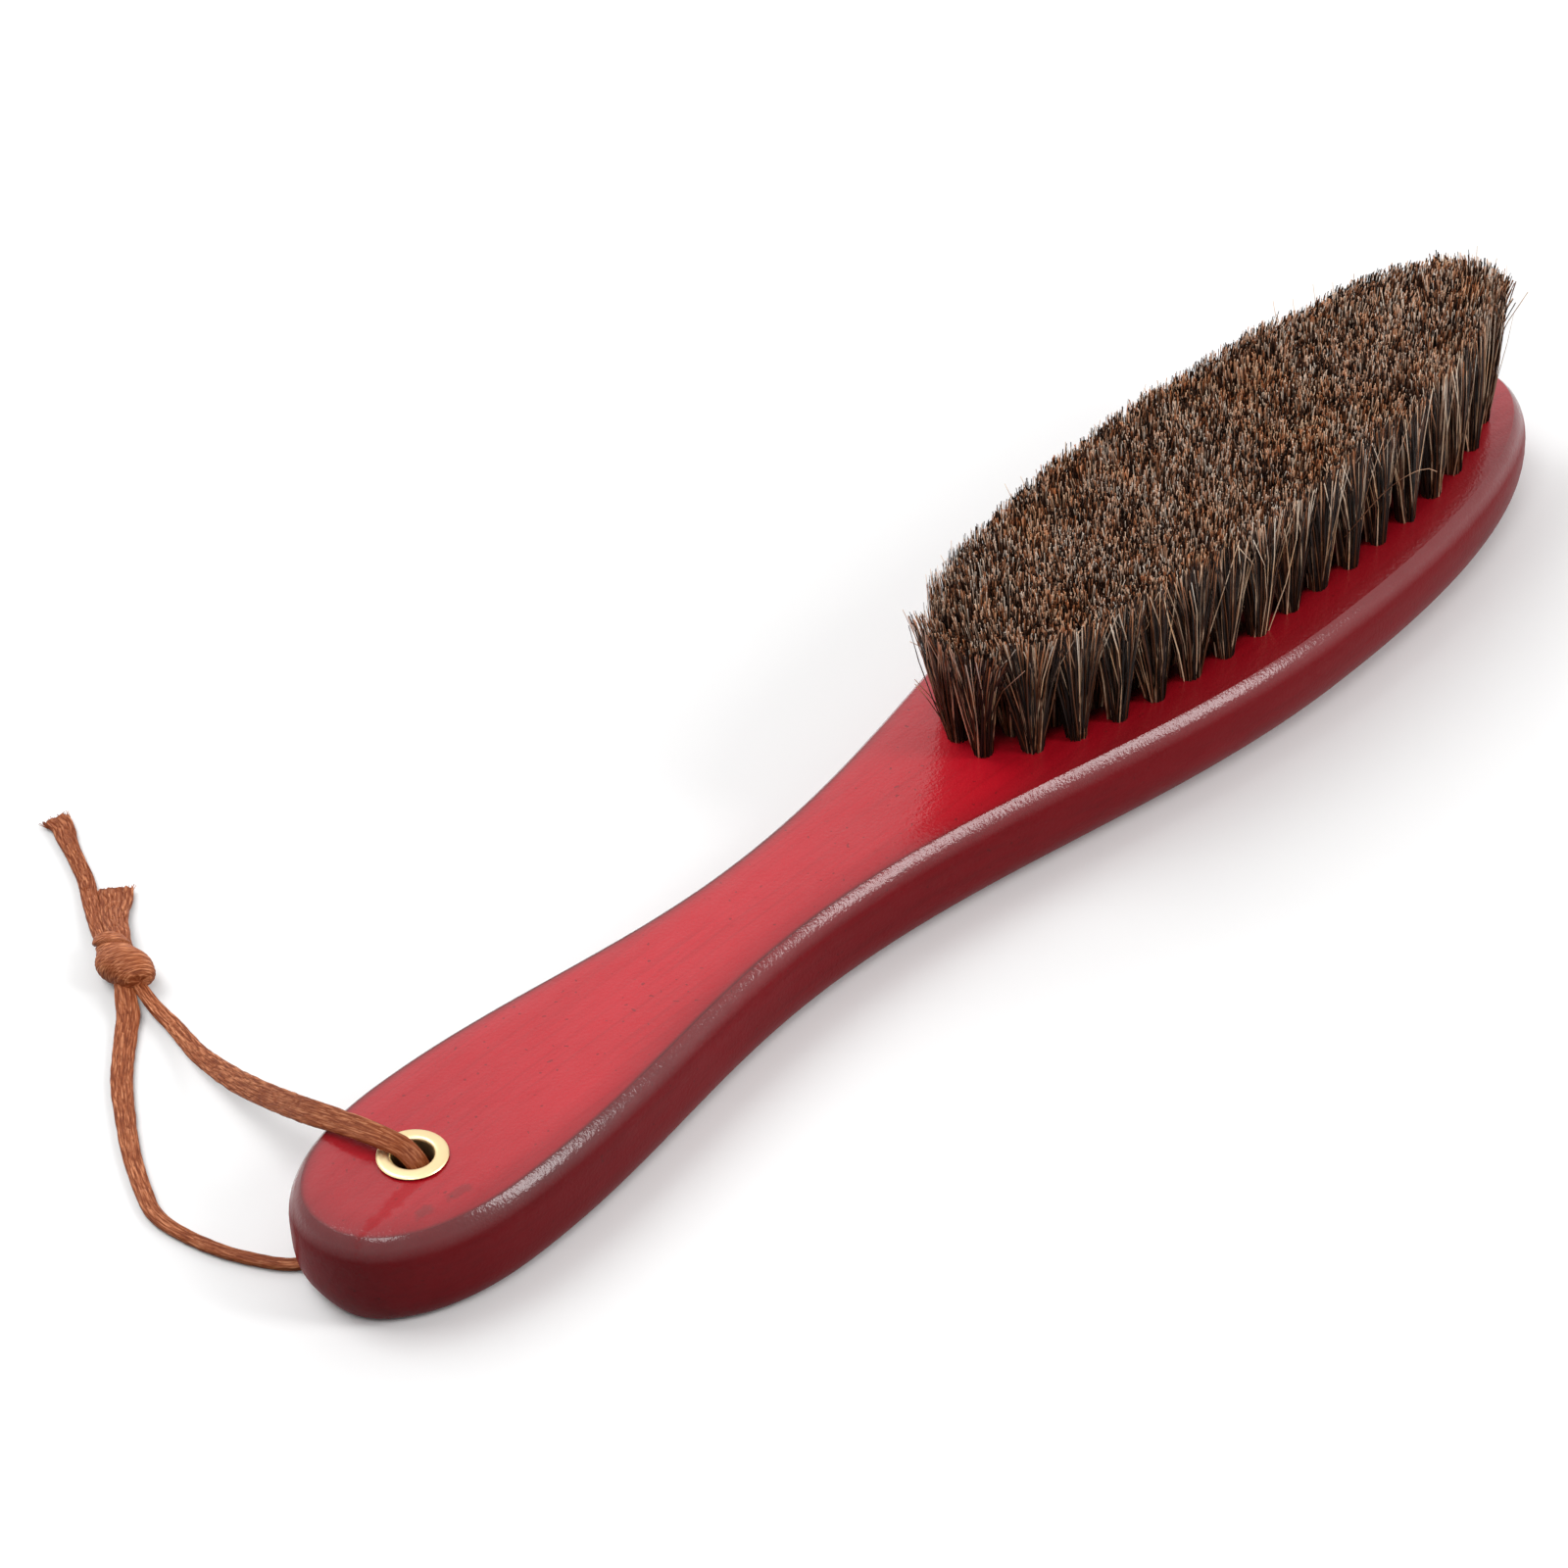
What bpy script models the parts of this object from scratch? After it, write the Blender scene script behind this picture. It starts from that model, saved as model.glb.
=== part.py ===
"""Shoe brush lying on its back, hair up: a one-piece board with hair set in its head and a corded handle.

Metres, +Z up. +X runs from the handle to the toe of the head. The origin is on the surface that the board
rests on, under the middle of the board.
"""
import math

import bmesh
import bpy
from mathutils import Matrix, Vector

# Plan of the board, measured along its crisp upper edge, from the tip of the handle to the toe
HANDLE_END_LENGTH = 0.0245
HANDLE_TAPER_LENGTH = 0.0632
HEAD_TAPER_LENGTH = 0.1018
TOE_LENGTH = 0.0653
HANDLE_HALF_WIDTH = 0.0143
NECK_HALF_WIDTH = 0.0083
HEAD_HALF_WIDTH = 0.0225
HANDLE_ROUNDNESS = 2.2
TOE_ROUNDNESS = 2.3

# Side of the board, from its upper edge round to its back
BOARD_THICKNESS = 0.0157
SIDE_BULGE = 0.0020
BULGE_DEPTH = 0.0055
EDGE_ANGLE = math.radians(25)
HANDLE_CURVE_RUN = 0.0055
HEAD_CURVE_RUN = 0.0080
HANDLE_BACK_ROUNDNESS = 4
HEAD_BACK_ROUNDNESS = 2.4
HANDLE_LIFT = 0.0016

# Hanging hole and its brass eyelet
EYELET_TO_TIP = 0.0169
EYELET_FLANGE_RADIUS = 0.00495
EYELET_CROWN_RADIUS = 0.0040
EYELET_LIP_RADIUS = 0.0033
EYELET_HOLE_RADIUS = 0.00295
EYELET_METAL = 0.0003
EYELET_FLANGE_HEIGHT = 0.0005
EYELET_BARREL_LENGTH = 0.0052

# Hair: tufts stand in rings inside the outline of the head, each ring one step in from the last
TUFT_HEEL_LENGTH = 0.0575
TUFT_TOE_LENGTH = 0.0580
TUFT_HALF_WIDTH = 0.0158
TUFT_HEEL_ROUNDNESS = 2
TUFT_TOE_ROUNDNESS = 2.8
HEEL_ROUNDNESS_STEP = 0.3
RING_STEP_LENGTH = 0.0060
RING_STEP_WIDTH = 0.00525
TUFTS_PER_HALF_RING = (18, 16, 14)
TUFTS_IN_CENTRE_ROW = 12
HAIR_LENGTH = 0.0220
HEEL_LEAN = 0.0046
TOE_LEAN = 0.0034
LEAN_POWER = 3
TOE_GATHER_SHARE = 0.17
STRANDS_PER_TUFT = 4
STRAND_SIDES = 3
STRAND_ROOT_DEPTH = 0.0015
STRAND_ROOT_RADIUS = 0.00042
STRAND_TIP_RADIUS = 0.0007
TUFT_ROOT_RADIUS = 0.0009
TUFT_TIP_RADIUS = 0.0013
TUFT_TURN = math.radians(137.5)
BACKING_DEPTH = 0.0037

# Cord: its thickness, and the routes of its free stretches as points chosen along the cord
CORD_DIAMETER = 0.0011
KNOT_CENTRE = (-0.0988, 0.0727, 0.0030)
KNOT_HALF_LENGTH = 0.0059
KNOT_HALF_WIDTH = 0.0040
KNOT_HALF_HEIGHT = 0.0029
KNOT_HEADING = math.radians(59)
LOOP_ROUTE = (
    (-0.1007, 0.0673, 0.0020),
    (-0.1019, 0.0625, 0.0013),
    (-0.1032, 0.0569, 0.0015),
    (-0.1056, 0.0501, 0.0027),
    (-0.1074, 0.0438, 0.0046),
    (-0.1091, 0.0377, 0.0069),
    (-0.1105, 0.0320, 0.0093),
    (-0.1117, 0.0263, 0.0118),
    (-0.1127, 0.0211, 0.0141),
    (-0.1133, 0.0164, 0.0160),
    (-0.1132, 0.0115, 0.0173),
    (-0.1125, 0.0073, 0.0177),
    (-0.1118, 0.0043, 0.0175),
    (-0.1109, 0.0013, 0.0167),
    (-0.1103, -0.0008, 0.0144),
    (-0.1100, -0.0016, 0.0113),
    (-0.1096, -0.0012, 0.0090),
    (-0.1094, -0.0007, 0.0068),
    (-0.1098, -0.0004, 0.0044),
    (-0.1110, 0.0003, 0.0024),
    (-0.1127, 0.0013, 0.0011),
    (-0.1147, 0.0025, 0.0006),
    (-0.1200, 0.0058, 0.0006),
    (-0.1255, 0.0097, 0.0006),
    (-0.1283, 0.0145, 0.0006),
    (-0.1303, 0.0202, 0.0006),
    (-0.1313, 0.0270, 0.0006),
    (-0.1310, 0.0315, 0.0006),
    (-0.1293, 0.0355, 0.0006),
    (-0.1250, 0.0428, 0.0006),
    (-0.1201, 0.0495, 0.0006),
    (-0.1148, 0.0560, 0.0006),
    (-0.1087, 0.0618, 0.0006),
    (-0.1052, 0.0650, 0.0009),
    (-0.1025, 0.0684, 0.0019),
)
LONG_TAIL_ROUTE = (
    (-0.0973, 0.0782, 0.0022),
    (-0.0956, 0.0815, 0.0013),
    (-0.0915, 0.0880, 0.0007),
    (-0.0887, 0.0920, 0.0006),
    (-0.0865, 0.0963, 0.0006),
    (-0.0843, 0.1008, 0.0006),
    (-0.0825, 0.1040, 0.0006),
    (-0.0818, 0.1064, 0.0006),
)
SHORT_TAIL_ROUTE = (
    (-0.0951, 0.0770, 0.0024),
    (-0.0919, 0.0820, 0.0014),
    (-0.0894, 0.0847, 0.0009),
    (-0.0873, 0.0871, 0.0007),
)

# Clearances and mesh counts
SEAT_GAP = 0.0003
CUT_OVERRUN = 0.002
MERGE_DISTANCE = 0.00001
END_STEPS = 9
TAPER_STEPS = 9
EDGE_STEPS = 3
BACK_STEPS = 6
ROUND_SEGMENTS = 24
RING_STEPS = 12
ARC_SAMPLES = 240
CORD_POINT_SPACING = 0.0028
KNOT_SEGMENTS = 16
KNOT_RINGS = 10

# Places that follow from the sizes
BOARD_LENGTH = HANDLE_END_LENGTH + HANDLE_TAPER_LENGTH + HEAD_TAPER_LENGTH + TOE_LENGTH
HANDLE_TIP_X = -BOARD_LENGTH / 2
HANDLE_WIDEST_X = HANDLE_TIP_X + HANDLE_END_LENGTH
NECK_X = HANDLE_WIDEST_X + HANDLE_TAPER_LENGTH
HEAD_WIDEST_X = NECK_X + HEAD_TAPER_LENGTH
EYELET_X = HANDLE_TIP_X + EYELET_TO_TIP
FACE_Z = BOARD_THICKNESS
RIGHT_ANGLE = math.pi / 2
SHARP_ANGLE = math.radians(32)

parts = bpy.data.collections.new("shoe_brush")
helpers = bpy.data.collections.new("cutters_and_joined_strands")


def material(name, colour, roughness, metallic=0.0):
    finish = bpy.data.materials.new(name)
    finish.use_nodes = True
    shader = finish.node_tree.nodes["Principled BSDF"]
    shader.inputs["Base Color"].default_value = (*colour, 1.0)
    shader.inputs["Roughness"].default_value = roughness
    shader.inputs["Metallic"].default_value = metallic
    return finish


def add_object(name, data, finish=None, place=(0, 0, 0)):
    """A finished part where a material is given, and a hidden helper where none is."""
    thing = bpy.data.objects.new(name, data)
    thing.location = place
    if finish:
        thing.data.materials.append(finish)
        parts.objects.link(thing)
    else:
        thing.hide_render = True
        thing.display_type = "WIRE"
        helpers.objects.link(thing)
    return thing


def mesh_from(bm, name):
    mesh = bpy.data.meshes.new(name)
    bm.to_mesh(mesh)
    bm.free()
    return mesh


def shade_round(mesh):
    mesh.shade_smooth()
    mesh.set_sharp_from_angle(angle=SHARP_ANGLE)


def boolean(thing, helper, operation):
    step = thing.modifiers.new(helper.name, "BOOLEAN")
    step.operation = operation
    step.solver = "EXACT"
    step.object = helper


def rounded_quarter(length, width, roundness, angle):
    """A point on a quarter of a superellipse: along the length at angle 0, along the width at a right angle."""
    power = 2 / roundness
    return length * max(math.cos(angle), 0) ** power, width * max(math.sin(angle), 0) ** power


def ease(share):
    """A raised cosine from 0 to 1, level at both ends."""
    return (1 - math.cos(math.pi * min(max(share, 0), 1))) / 2


def board_half_outline():
    """The upper edge of the board on its +Y side, from the tip of the handle to the toe."""
    points = []
    for step in range(END_STEPS):
        along, across = rounded_quarter(
            HANDLE_END_LENGTH, HANDLE_HALF_WIDTH, HANDLE_ROUNDNESS, RIGHT_ANGLE * step / END_STEPS
        )
        points.append((HANDLE_WIDEST_X - along, across))
    for step in range(TAPER_STEPS):
        share = step / TAPER_STEPS
        half_width = HANDLE_HALF_WIDTH + (NECK_HALF_WIDTH - HANDLE_HALF_WIDTH) * ease(share)
        points.append((HANDLE_WIDEST_X + HANDLE_TAPER_LENGTH * share, half_width))
    for step in range(TAPER_STEPS):
        share = step / TAPER_STEPS
        half_width = NECK_HALF_WIDTH + (HEAD_HALF_WIDTH - NECK_HALF_WIDTH) * ease(share)
        points.append((NECK_X + HEAD_TAPER_LENGTH * share, half_width))
    for step in range(END_STEPS, -1, -1):
        along, across = rounded_quarter(
            TOE_LENGTH, HEAD_HALF_WIDTH, TOE_ROUNDNESS, RIGHT_ANGLE * step / END_STEPS
        )
        points.append((HEAD_WIDEST_X + along, across))
    return points


def outward_normals(points):
    """Unit normals of the half outline, square to the centre line at both tips."""
    normals = [Vector((-1, 0))]
    for before, after in zip(points, points[2:]):
        run = Vector(after) - Vector(before)
        normals.append(Vector((-run.y, run.x)).normalized())
    normals.append(Vector((1, 0)))
    return normals


def side_profile(x):
    """The board's side as (outset from the upper edge, depth, share of the way from the bulge to the back).

    The handle's back edge is squarer than the head's.
    """
    head_share = ease((x - HANDLE_WIDEST_X) / (HEAD_WIDEST_X - HANDLE_WIDEST_X))
    run = HANDLE_CURVE_RUN + (HEAD_CURVE_RUN - HANDLE_CURVE_RUN) * head_share
    roundness = HANDLE_BACK_ROUNDNESS + (HEAD_BACK_ROUNDNESS - HANDLE_BACK_ROUNDNESS) * head_share
    profile = []
    for step in range(EDGE_STEPS + 1):
        angle = EDGE_ANGLE + (RIGHT_ANGLE - EDGE_ANGLE) * step / EDGE_STEPS
        outset = SIDE_BULGE * (math.sin(angle) - math.sin(EDGE_ANGLE)) / (1 - math.sin(EDGE_ANGLE))
        depth = BULGE_DEPTH * (1 - math.cos(angle) / math.cos(EDGE_ANGLE))
        profile.append((outset, depth, 0))
    for step in range(1, BACK_STEPS + 1):
        inward, downward = rounded_quarter(run, 1, roundness, RIGHT_ANGLE * step / BACK_STEPS)
        profile.append((SIDE_BULGE - run + inward, BULGE_DEPTH, downward))
    return profile


def back_height(x):
    """The height of the board's back: flat under the head and neck, raised under the handle end."""
    return HANDLE_LIFT * ease((NECK_X - x) / (NECK_X - HANDLE_WIDEST_X))


def make_wooden_body(finish):
    """The board: plan outlines lofted down its side, with the tuft recess and the hanging hole cut out."""
    points = board_half_outline()
    normals = outward_normals(points)
    profiles = [side_profile(point[0]) for point in points]
    bm = bmesh.new()
    rings = []
    for level in range(len(profiles[0])):
        ring = []
        for mirror in (1, -1):
            side = []
            for point, normal, profile in zip(points, normals, profiles):
                outset, depth, back_share = profile[level]
                x = point[0] + outset * normal.x
                y = point[1] + outset * normal.y
                upper = FACE_Z - depth
                side.append((x, mirror * y, upper - (upper - back_height(x)) * back_share))
            ring += side if mirror == 1 else side[-2:0:-1]
        rings.append([bm.verts.new(place) for place in ring])
    count = len(rings[0])
    for upper, lower in zip(rings, rings[1:]):
        for i in range(count):
            after = (i + 1) % count
            bm.faces.new((upper[i], lower[i], lower[after], upper[after]))
    bm.faces.new(rings[0])
    back = rings[-1]
    last = len(points) - 1
    bm.faces.new((back[0], back[1], back[-1]))
    for i in range(1, last - 1):
        bm.faces.new((back[i], back[i + 1], back[-i - 1], back[-i]))
    bm.faces.new((back[last - 1], back[last], back[last + 1]))
    bmesh.ops.recalc_face_normals(bm, faces=bm.faces)
    mesh = mesh_from(bm, "wooden_body")
    shade_round(mesh)
    board = add_object("wooden_body", mesh, finish)
    boolean(board, tuft_recess_cutter(), "DIFFERENCE")
    boolean(board, hanging_hole_cutter(), "DIFFERENCE")
    return board


def ring_half_outline(ring, inset=0.0, steps=RING_STEPS):
    """Half of the ring-th tuft ring on the +Y side, heel to toe; a half number lies midway between rings."""
    heel = TUFT_HEEL_LENGTH - ring * RING_STEP_LENGTH - inset
    toe = TUFT_TOE_LENGTH - ring * RING_STEP_LENGTH - inset
    half_width = TUFT_HALF_WIDTH - ring * RING_STEP_WIDTH - inset
    heel_roundness = TUFT_HEEL_ROUNDNESS + HEEL_ROUNDNESS_STEP * max(ring, 0)
    points = []
    for step in range(steps):
        angle = RIGHT_ANGLE * step / steps
        along, across = rounded_quarter(heel, half_width, heel_roundness, angle)
        points.append((HEAD_WIDEST_X - along, across))
    for step in range(steps, -1, -1):
        angle = RIGHT_ANGLE * step / steps
        along, across = rounded_quarter(toe, half_width, TUFT_TOE_ROUNDNESS, angle)
        points.append((HEAD_WIDEST_X + along, across))
    return points


def prism(name, outline, bottom, height):
    """A straight-sided solid on a plan outline that runs either way round."""
    bm = bmesh.new()
    base = bm.faces.new([bm.verts.new((x, y, bottom)) for x, y in outline])
    raised = bmesh.ops.extrude_face_region(bm, geom=[base])["geom"]
    top_verts = [item for item in raised if isinstance(item, bmesh.types.BMVert)]
    bmesh.ops.translate(bm, verts=top_verts, vec=(0, 0, height))
    bmesh.ops.recalc_face_normals(bm, faces=bm.faces)
    return mesh_from(bm, name)


def whole_outline(half):
    return half + [(x, -y) for x, y in half[-2:0:-1]]


def tuft_recess_cutter():
    outline = whole_outline(ring_half_outline(-0.5, -SEAT_GAP / 2))
    depth = BACKING_DEPTH + SEAT_GAP
    return add_object("tuft_recess_cutter", prism("tuft_recess", outline, FACE_Z - depth, depth + CUT_OVERRUN))


def hanging_hole_cutter():
    bm = bmesh.new()
    bmesh.ops.create_cone(
        bm,
        cap_ends=True,
        segments=ROUND_SEGMENTS,
        radius1=EYELET_HOLE_RADIUS + EYELET_METAL + SEAT_GAP,
        radius2=EYELET_HOLE_RADIUS + EYELET_METAL + SEAT_GAP,
        depth=FACE_Z + 2 * CUT_OVERRUN,
    )
    return add_object("hanging_hole_cutter", mesh_from(bm, "hanging_hole"), place=(EYELET_X, 0, FACE_Z / 2))


def make_top_eyelet(finish):
    """The brass eyelet: a domed flange with a rolled lip and a barrel, turned from one profile."""
    underside = SEAT_GAP
    crown = underside + EYELET_FLANGE_HEIGHT
    rim = underside + EYELET_METAL
    barrel_radius = EYELET_HOLE_RADIUS + EYELET_METAL
    profile = (
        (EYELET_LIP_RADIUS, crown - EYELET_METAL / 3),
        (EYELET_CROWN_RADIUS, crown),
        ((EYELET_CROWN_RADIUS + EYELET_FLANGE_RADIUS) / 2, crown - EYELET_METAL / 4),
        (EYELET_FLANGE_RADIUS, rim),
        (EYELET_FLANGE_RADIUS, underside),
        (barrel_radius, underside),
        (barrel_radius, -EYELET_BARREL_LENGTH),
        (EYELET_HOLE_RADIUS, -EYELET_BARREL_LENGTH),
        (EYELET_HOLE_RADIUS, underside - EYELET_METAL),
        ((EYELET_HOLE_RADIUS + EYELET_LIP_RADIUS) / 2, rim),
    )
    bm = bmesh.new()
    verts = [bm.verts.new((radius, 0, height)) for radius, height in profile]
    for first, second in zip(verts, verts[1:] + verts[:1]):
        bm.edges.new((first, second))
    eyelet = add_object("top_eyelet", mesh_from(bm, "top_eyelet"), finish, (EYELET_X, 0, FACE_Z))
    turn = eyelet.modifiers.new("turn", "SCREW")
    turn.axis = "Z"
    turn.steps = ROUND_SEGMENTS
    turn.render_steps = ROUND_SEGMENTS
    turn.use_merge_vertices = True
    turn.merge_threshold = MERGE_DISTANCE
    turn.use_smooth_shade = True
    return eyelet


def spaced_along(points, count):
    """Places spread evenly along a line of points, with one at each end."""
    lengths = [0.0]
    for first, second in zip(points, points[1:]):
        lengths.append(lengths[-1] + math.dist(first, second))
    places = []
    segment = 0
    for i in range(count):
        wanted = lengths[-1] * i / (count - 1)
        while lengths[segment + 1] < wanted and segment + 2 < len(lengths):
            segment += 1
        share = (wanted - lengths[segment]) / (lengths[segment + 1] - lengths[segment])
        places.append(tuple(Vector(points[segment]).lerp(Vector(points[segment + 1]), share)))
    return places


def lean(x, y):
    """How far a tuft leans from its root to its trimmed end: outward at the heel and toe, inward beside the toe."""
    along = x - HEAD_WIDEST_X
    if along < 0:
        return Vector((-HEEL_LEAN * (-along / TUFT_HEEL_LENGTH) ** LEAN_POWER, 0, 0))
    toe_share = along / TUFT_TOE_LENGTH
    return Vector((TOE_LEAN * toe_share**LEAN_POWER, -TOE_GATHER_SHARE * toe_share * y, 0))


def tuft_strands(name, places):
    """The strands of one row of tufts: each tuft fans out from its root to the trimmed top."""
    bm = bmesh.new()
    length = STRAND_ROOT_DEPTH + HAIR_LENGTH
    for number, (x, y) in enumerate(places):
        for strand in range(STRANDS_PER_TUFT):
            angle = number * TUFT_TURN + strand * 2 * math.pi / STRANDS_PER_TUFT
            outward = Vector((math.cos(angle), math.sin(angle), 0))
            root = Vector((x, y, FACE_Z - STRAND_ROOT_DEPTH)) + outward * TUFT_ROOT_RADIUS
            made = bmesh.ops.create_cone(
                bm,
                cap_ends=True,
                segments=STRAND_SIDES,
                radius1=STRAND_ROOT_RADIUS,
                radius2=STRAND_TIP_RADIUS,
                depth=length,
                matrix=Matrix.Translation(root + Vector((0, 0, length / 2))) @ Matrix.Rotation(angle, 4, "Z"),
            )
            tips = [vert for vert in made["verts"] if vert.co.z > FACE_Z]
            fan = outward * (TUFT_TIP_RADIUS - TUFT_ROOT_RADIUS) + lean(x, y)
            bmesh.ops.translate(bm, verts=tips, vec=fan)
    return add_object(name, mesh_from(bm, name))


def make_tuft_row(name, finish, outline, places):
    """A slice of the head's face with one row of tufts fused to it."""
    row = add_object(name, prism(name, outline, FACE_Z - BACKING_DEPTH, BACKING_DEPTH), finish)
    boolean(row, tuft_strands(name + "_strands", places), "UNION")
    return row


def make_tuft_rows(finish):
    """Curved rows on both sides of a straight centre row."""
    ring_names = ("outer", "middle", "inner")
    for ring, (ring_name, count) in enumerate(zip(ring_names, TUFTS_PER_HALF_RING)):
        edge = ring_half_outline(ring - 0.5, SEAT_GAP / 2)
        inner_edge = ring_half_outline(ring + 0.5, -SEAT_GAP / 2)
        outline = [(x, max(y, SEAT_GAP / 2)) for x, y in edge + inner_edge[::-1]]
        line = [point for point in ring_half_outline(ring, 0, ARC_SAMPLES) if point[1] >= RING_STEP_WIDTH / 2]
        places = spaced_along(line, count)
        for side_name, mirror in (("left", 1), ("right", -1)):
            make_tuft_row(
                f"tufts_{ring_name}_{side_name}",
                finish,
                [(x, mirror * y) for x, y in outline],
                [(x, mirror * y) for x, y in places],
            )
    rings = len(TUFTS_PER_HALF_RING)
    outline = whole_outline(ring_half_outline(rings - 0.5, SEAT_GAP / 2))
    row_inset = (rings + 0.5) * RING_STEP_LENGTH
    heel_x = HEAD_WIDEST_X - TUFT_HEEL_LENGTH + row_inset
    toe_x = HEAD_WIDEST_X + TUFT_TOE_LENGTH - row_inset
    make_tuft_row("tufts_centre", finish, outline, spaced_along([(heel_x, 0), (toe_x, 0)], TUFTS_IN_CENTRE_ROW))


def smooth_route(route):
    """Points about evenly spaced along a smooth curve through the route's points."""
    knots = [Vector(point) for point in route]
    padded = [2 * knots[0] - knots[1]] + knots + [2 * knots[-1] - knots[-2]]
    points = []
    for before, start, end, after in zip(padded, padded[1:], padded[2:], padded[3:]):
        samples = max(1, round((end - start).length / CORD_POINT_SPACING))
        for sample in range(samples):
            t = sample / samples
            points.append(
                (
                    2 * start
                    + (end - before) * t
                    + (2 * before - 5 * start + 4 * end - after) * t**2
                    + (3 * start - before - 3 * end + after) * t**3
                )
                / 2
            )
    return points + [knots[-1]]


def make_cord(name, finish, route):
    """A free stretch of cord as a round tube along its route, closed at both ends."""
    line = bpy.data.curves.new(name, "CURVE")
    line.dimensions = "3D"
    line.bevel_depth = CORD_DIAMETER / 2
    line.bevel_resolution = 2
    line.use_fill_caps = True
    points = smooth_route(route)
    spline = line.splines.new("POLY")
    spline.points.add(len(points) - 1)
    for target, point in zip(spline.points, points):
        target.co = (*point, 1)
    length = sum((b - a).length for a, b in zip(points, points[1:]))
    print(f"{name}: {len(points)} points, {length * 1000:.1f} mm")
    return add_object(name, line, finish)


def make_knot(finish):
    """The overhand knot, pulled tight into a rounded lump on the surface."""
    bm = bmesh.new()
    bmesh.ops.create_uvsphere(bm, u_segments=KNOT_SEGMENTS, v_segments=KNOT_RINGS, radius=1)
    bmesh.ops.scale(bm, verts=bm.verts, vec=(KNOT_HALF_LENGTH, KNOT_HALF_WIDTH, KNOT_HALF_HEIGHT))
    mesh = mesh_from(bm, "cord_knot")
    mesh.shade_smooth()
    knot = add_object("cord_knot", mesh, finish, KNOT_CENTRE)
    knot.rotation_euler = (0, 0, KNOT_HEADING)
    return knot


def build():
    for thing in list(bpy.data.objects):
        bpy.data.objects.remove(thing, do_unlink=True)
    for collection in (parts, helpers):
        bpy.context.scene.collection.children.link(collection)
    lacquered_wood = material("red_lacquered_wood", (0.26, 0.012, 0.018), 0.22)
    brass = material("polished_brass", (0.85, 0.66, 0.32), 0.2, 1.0)
    horsehair = material("brown_horsehair", (0.10, 0.055, 0.03), 0.6)
    waxed_cord = material("waxed_brown_cord", (0.36, 0.12, 0.05), 0.5)
    make_wooden_body(lacquered_wood)
    make_top_eyelet(brass)
    make_tuft_rows(horsehair)
    make_cord("cord_loop", waxed_cord, LOOP_ROUTE)
    make_knot(waxed_cord)
    make_cord("cord_long_tail", waxed_cord, LONG_TAIL_ROUTE)
    make_cord("cord_short_tail", waxed_cord, SHORT_TAIL_ROUTE)


build()
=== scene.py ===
import math
import random

import bmesh
import bpy
from mathutils import Matrix, Vector, noise


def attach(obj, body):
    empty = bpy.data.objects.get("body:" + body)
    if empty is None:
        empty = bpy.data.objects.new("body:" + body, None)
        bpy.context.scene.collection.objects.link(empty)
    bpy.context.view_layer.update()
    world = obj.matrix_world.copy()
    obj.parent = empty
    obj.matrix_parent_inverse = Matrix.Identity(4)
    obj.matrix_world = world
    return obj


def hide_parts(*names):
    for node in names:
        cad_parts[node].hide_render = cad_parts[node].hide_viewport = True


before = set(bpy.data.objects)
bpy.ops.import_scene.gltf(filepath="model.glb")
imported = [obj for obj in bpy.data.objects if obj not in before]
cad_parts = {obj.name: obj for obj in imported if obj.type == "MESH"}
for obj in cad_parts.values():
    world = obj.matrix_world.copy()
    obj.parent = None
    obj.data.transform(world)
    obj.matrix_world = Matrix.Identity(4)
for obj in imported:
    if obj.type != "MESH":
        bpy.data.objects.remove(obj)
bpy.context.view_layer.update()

MM = 0.001

# Board: the plan of its crisp upper edge, and its side
HANDLE_END = 0.0245
HANDLE_TAPER = 0.0632
HEAD_TAPER = 0.1018
TOE = 0.0653
HANDLE_ROUNDNESS = 2.2
TOE_ROUNDNESS = 2.3
OUTLINE_STEPS = 30
HANDLE_HALF = 0.0143
NECK_HALF = 0.0083
HEAD_HALF = 0.0225
HANDLE_TIP = -(HANDLE_END + HANDLE_TAPER + HEAD_TAPER + TOE) / 2
HANDLE_X = HANDLE_TIP + HANDLE_END
NECK_X = HANDLE_X + HANDLE_TAPER
HEAD_X = NECK_X + HEAD_TAPER
FACE = 0.0157
HANDLE_LIFT = 0.0016
CROWN_RUN = 0.0048
CROWN_DROP = 0.0004
CROWN_STEPS = 6
SIDE_BULGE = 0.0020
BULGE_DEPTH = 0.0055
EDGE_ANGLE = math.radians(25)
HANDLE_CURVE_RUN = 0.0055
HEAD_CURVE_RUN = 0.0080
HANDLE_BACK_ROUNDNESS = 4
HEAD_BACK_ROUNDNESS = 2.4
SIDE_STEPS = 14
# The way to the camera's side of the board
NEAR = Vector((-0.62, -0.78))

# Pale floor: half its side, and how far it lies under the board
FLOOR_REACH = 0.55
FLOOR_DROP = 0.1 * MM

# Camera: its lens in millimetres, its place, and its turns in degrees
LENS = 135
CAMERA_PLACE = (-0.49343, -0.44761, 0.55563)
CAMERA_TURN = -45.7
CAMERA_HEIGHT = 39.2
CAMERA_ROLL = -3.1

# Lamps: name, place, size and watts
SOFT_BOXES = (
    ("top_softbox", (-0.30, 0.54, 1.03), (0.70, 0.70), 5.4),
    ("right_softbox", (0.46, -0.91, 0.62), (0.30, 0.80), 6.4),
    ("front_softbox", (-0.61, -0.36, 0.97), (0.42, 0.36), 2.9),
)

# Hanging hole and eyelet
HOLE_X = HANDLE_TIP + 0.0169
HOLE_RADIUS = 0.00355
EYELET_SEAT = 0.0003
EYELET_HOLE = 0.00295
BARREL_RADIUS = 0.00325
BARREL_DEPTH = 0.0052
LIP_MIDDLE = (0.00350, -0.00020)
LIP_RADIUS = 0.00055
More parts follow.
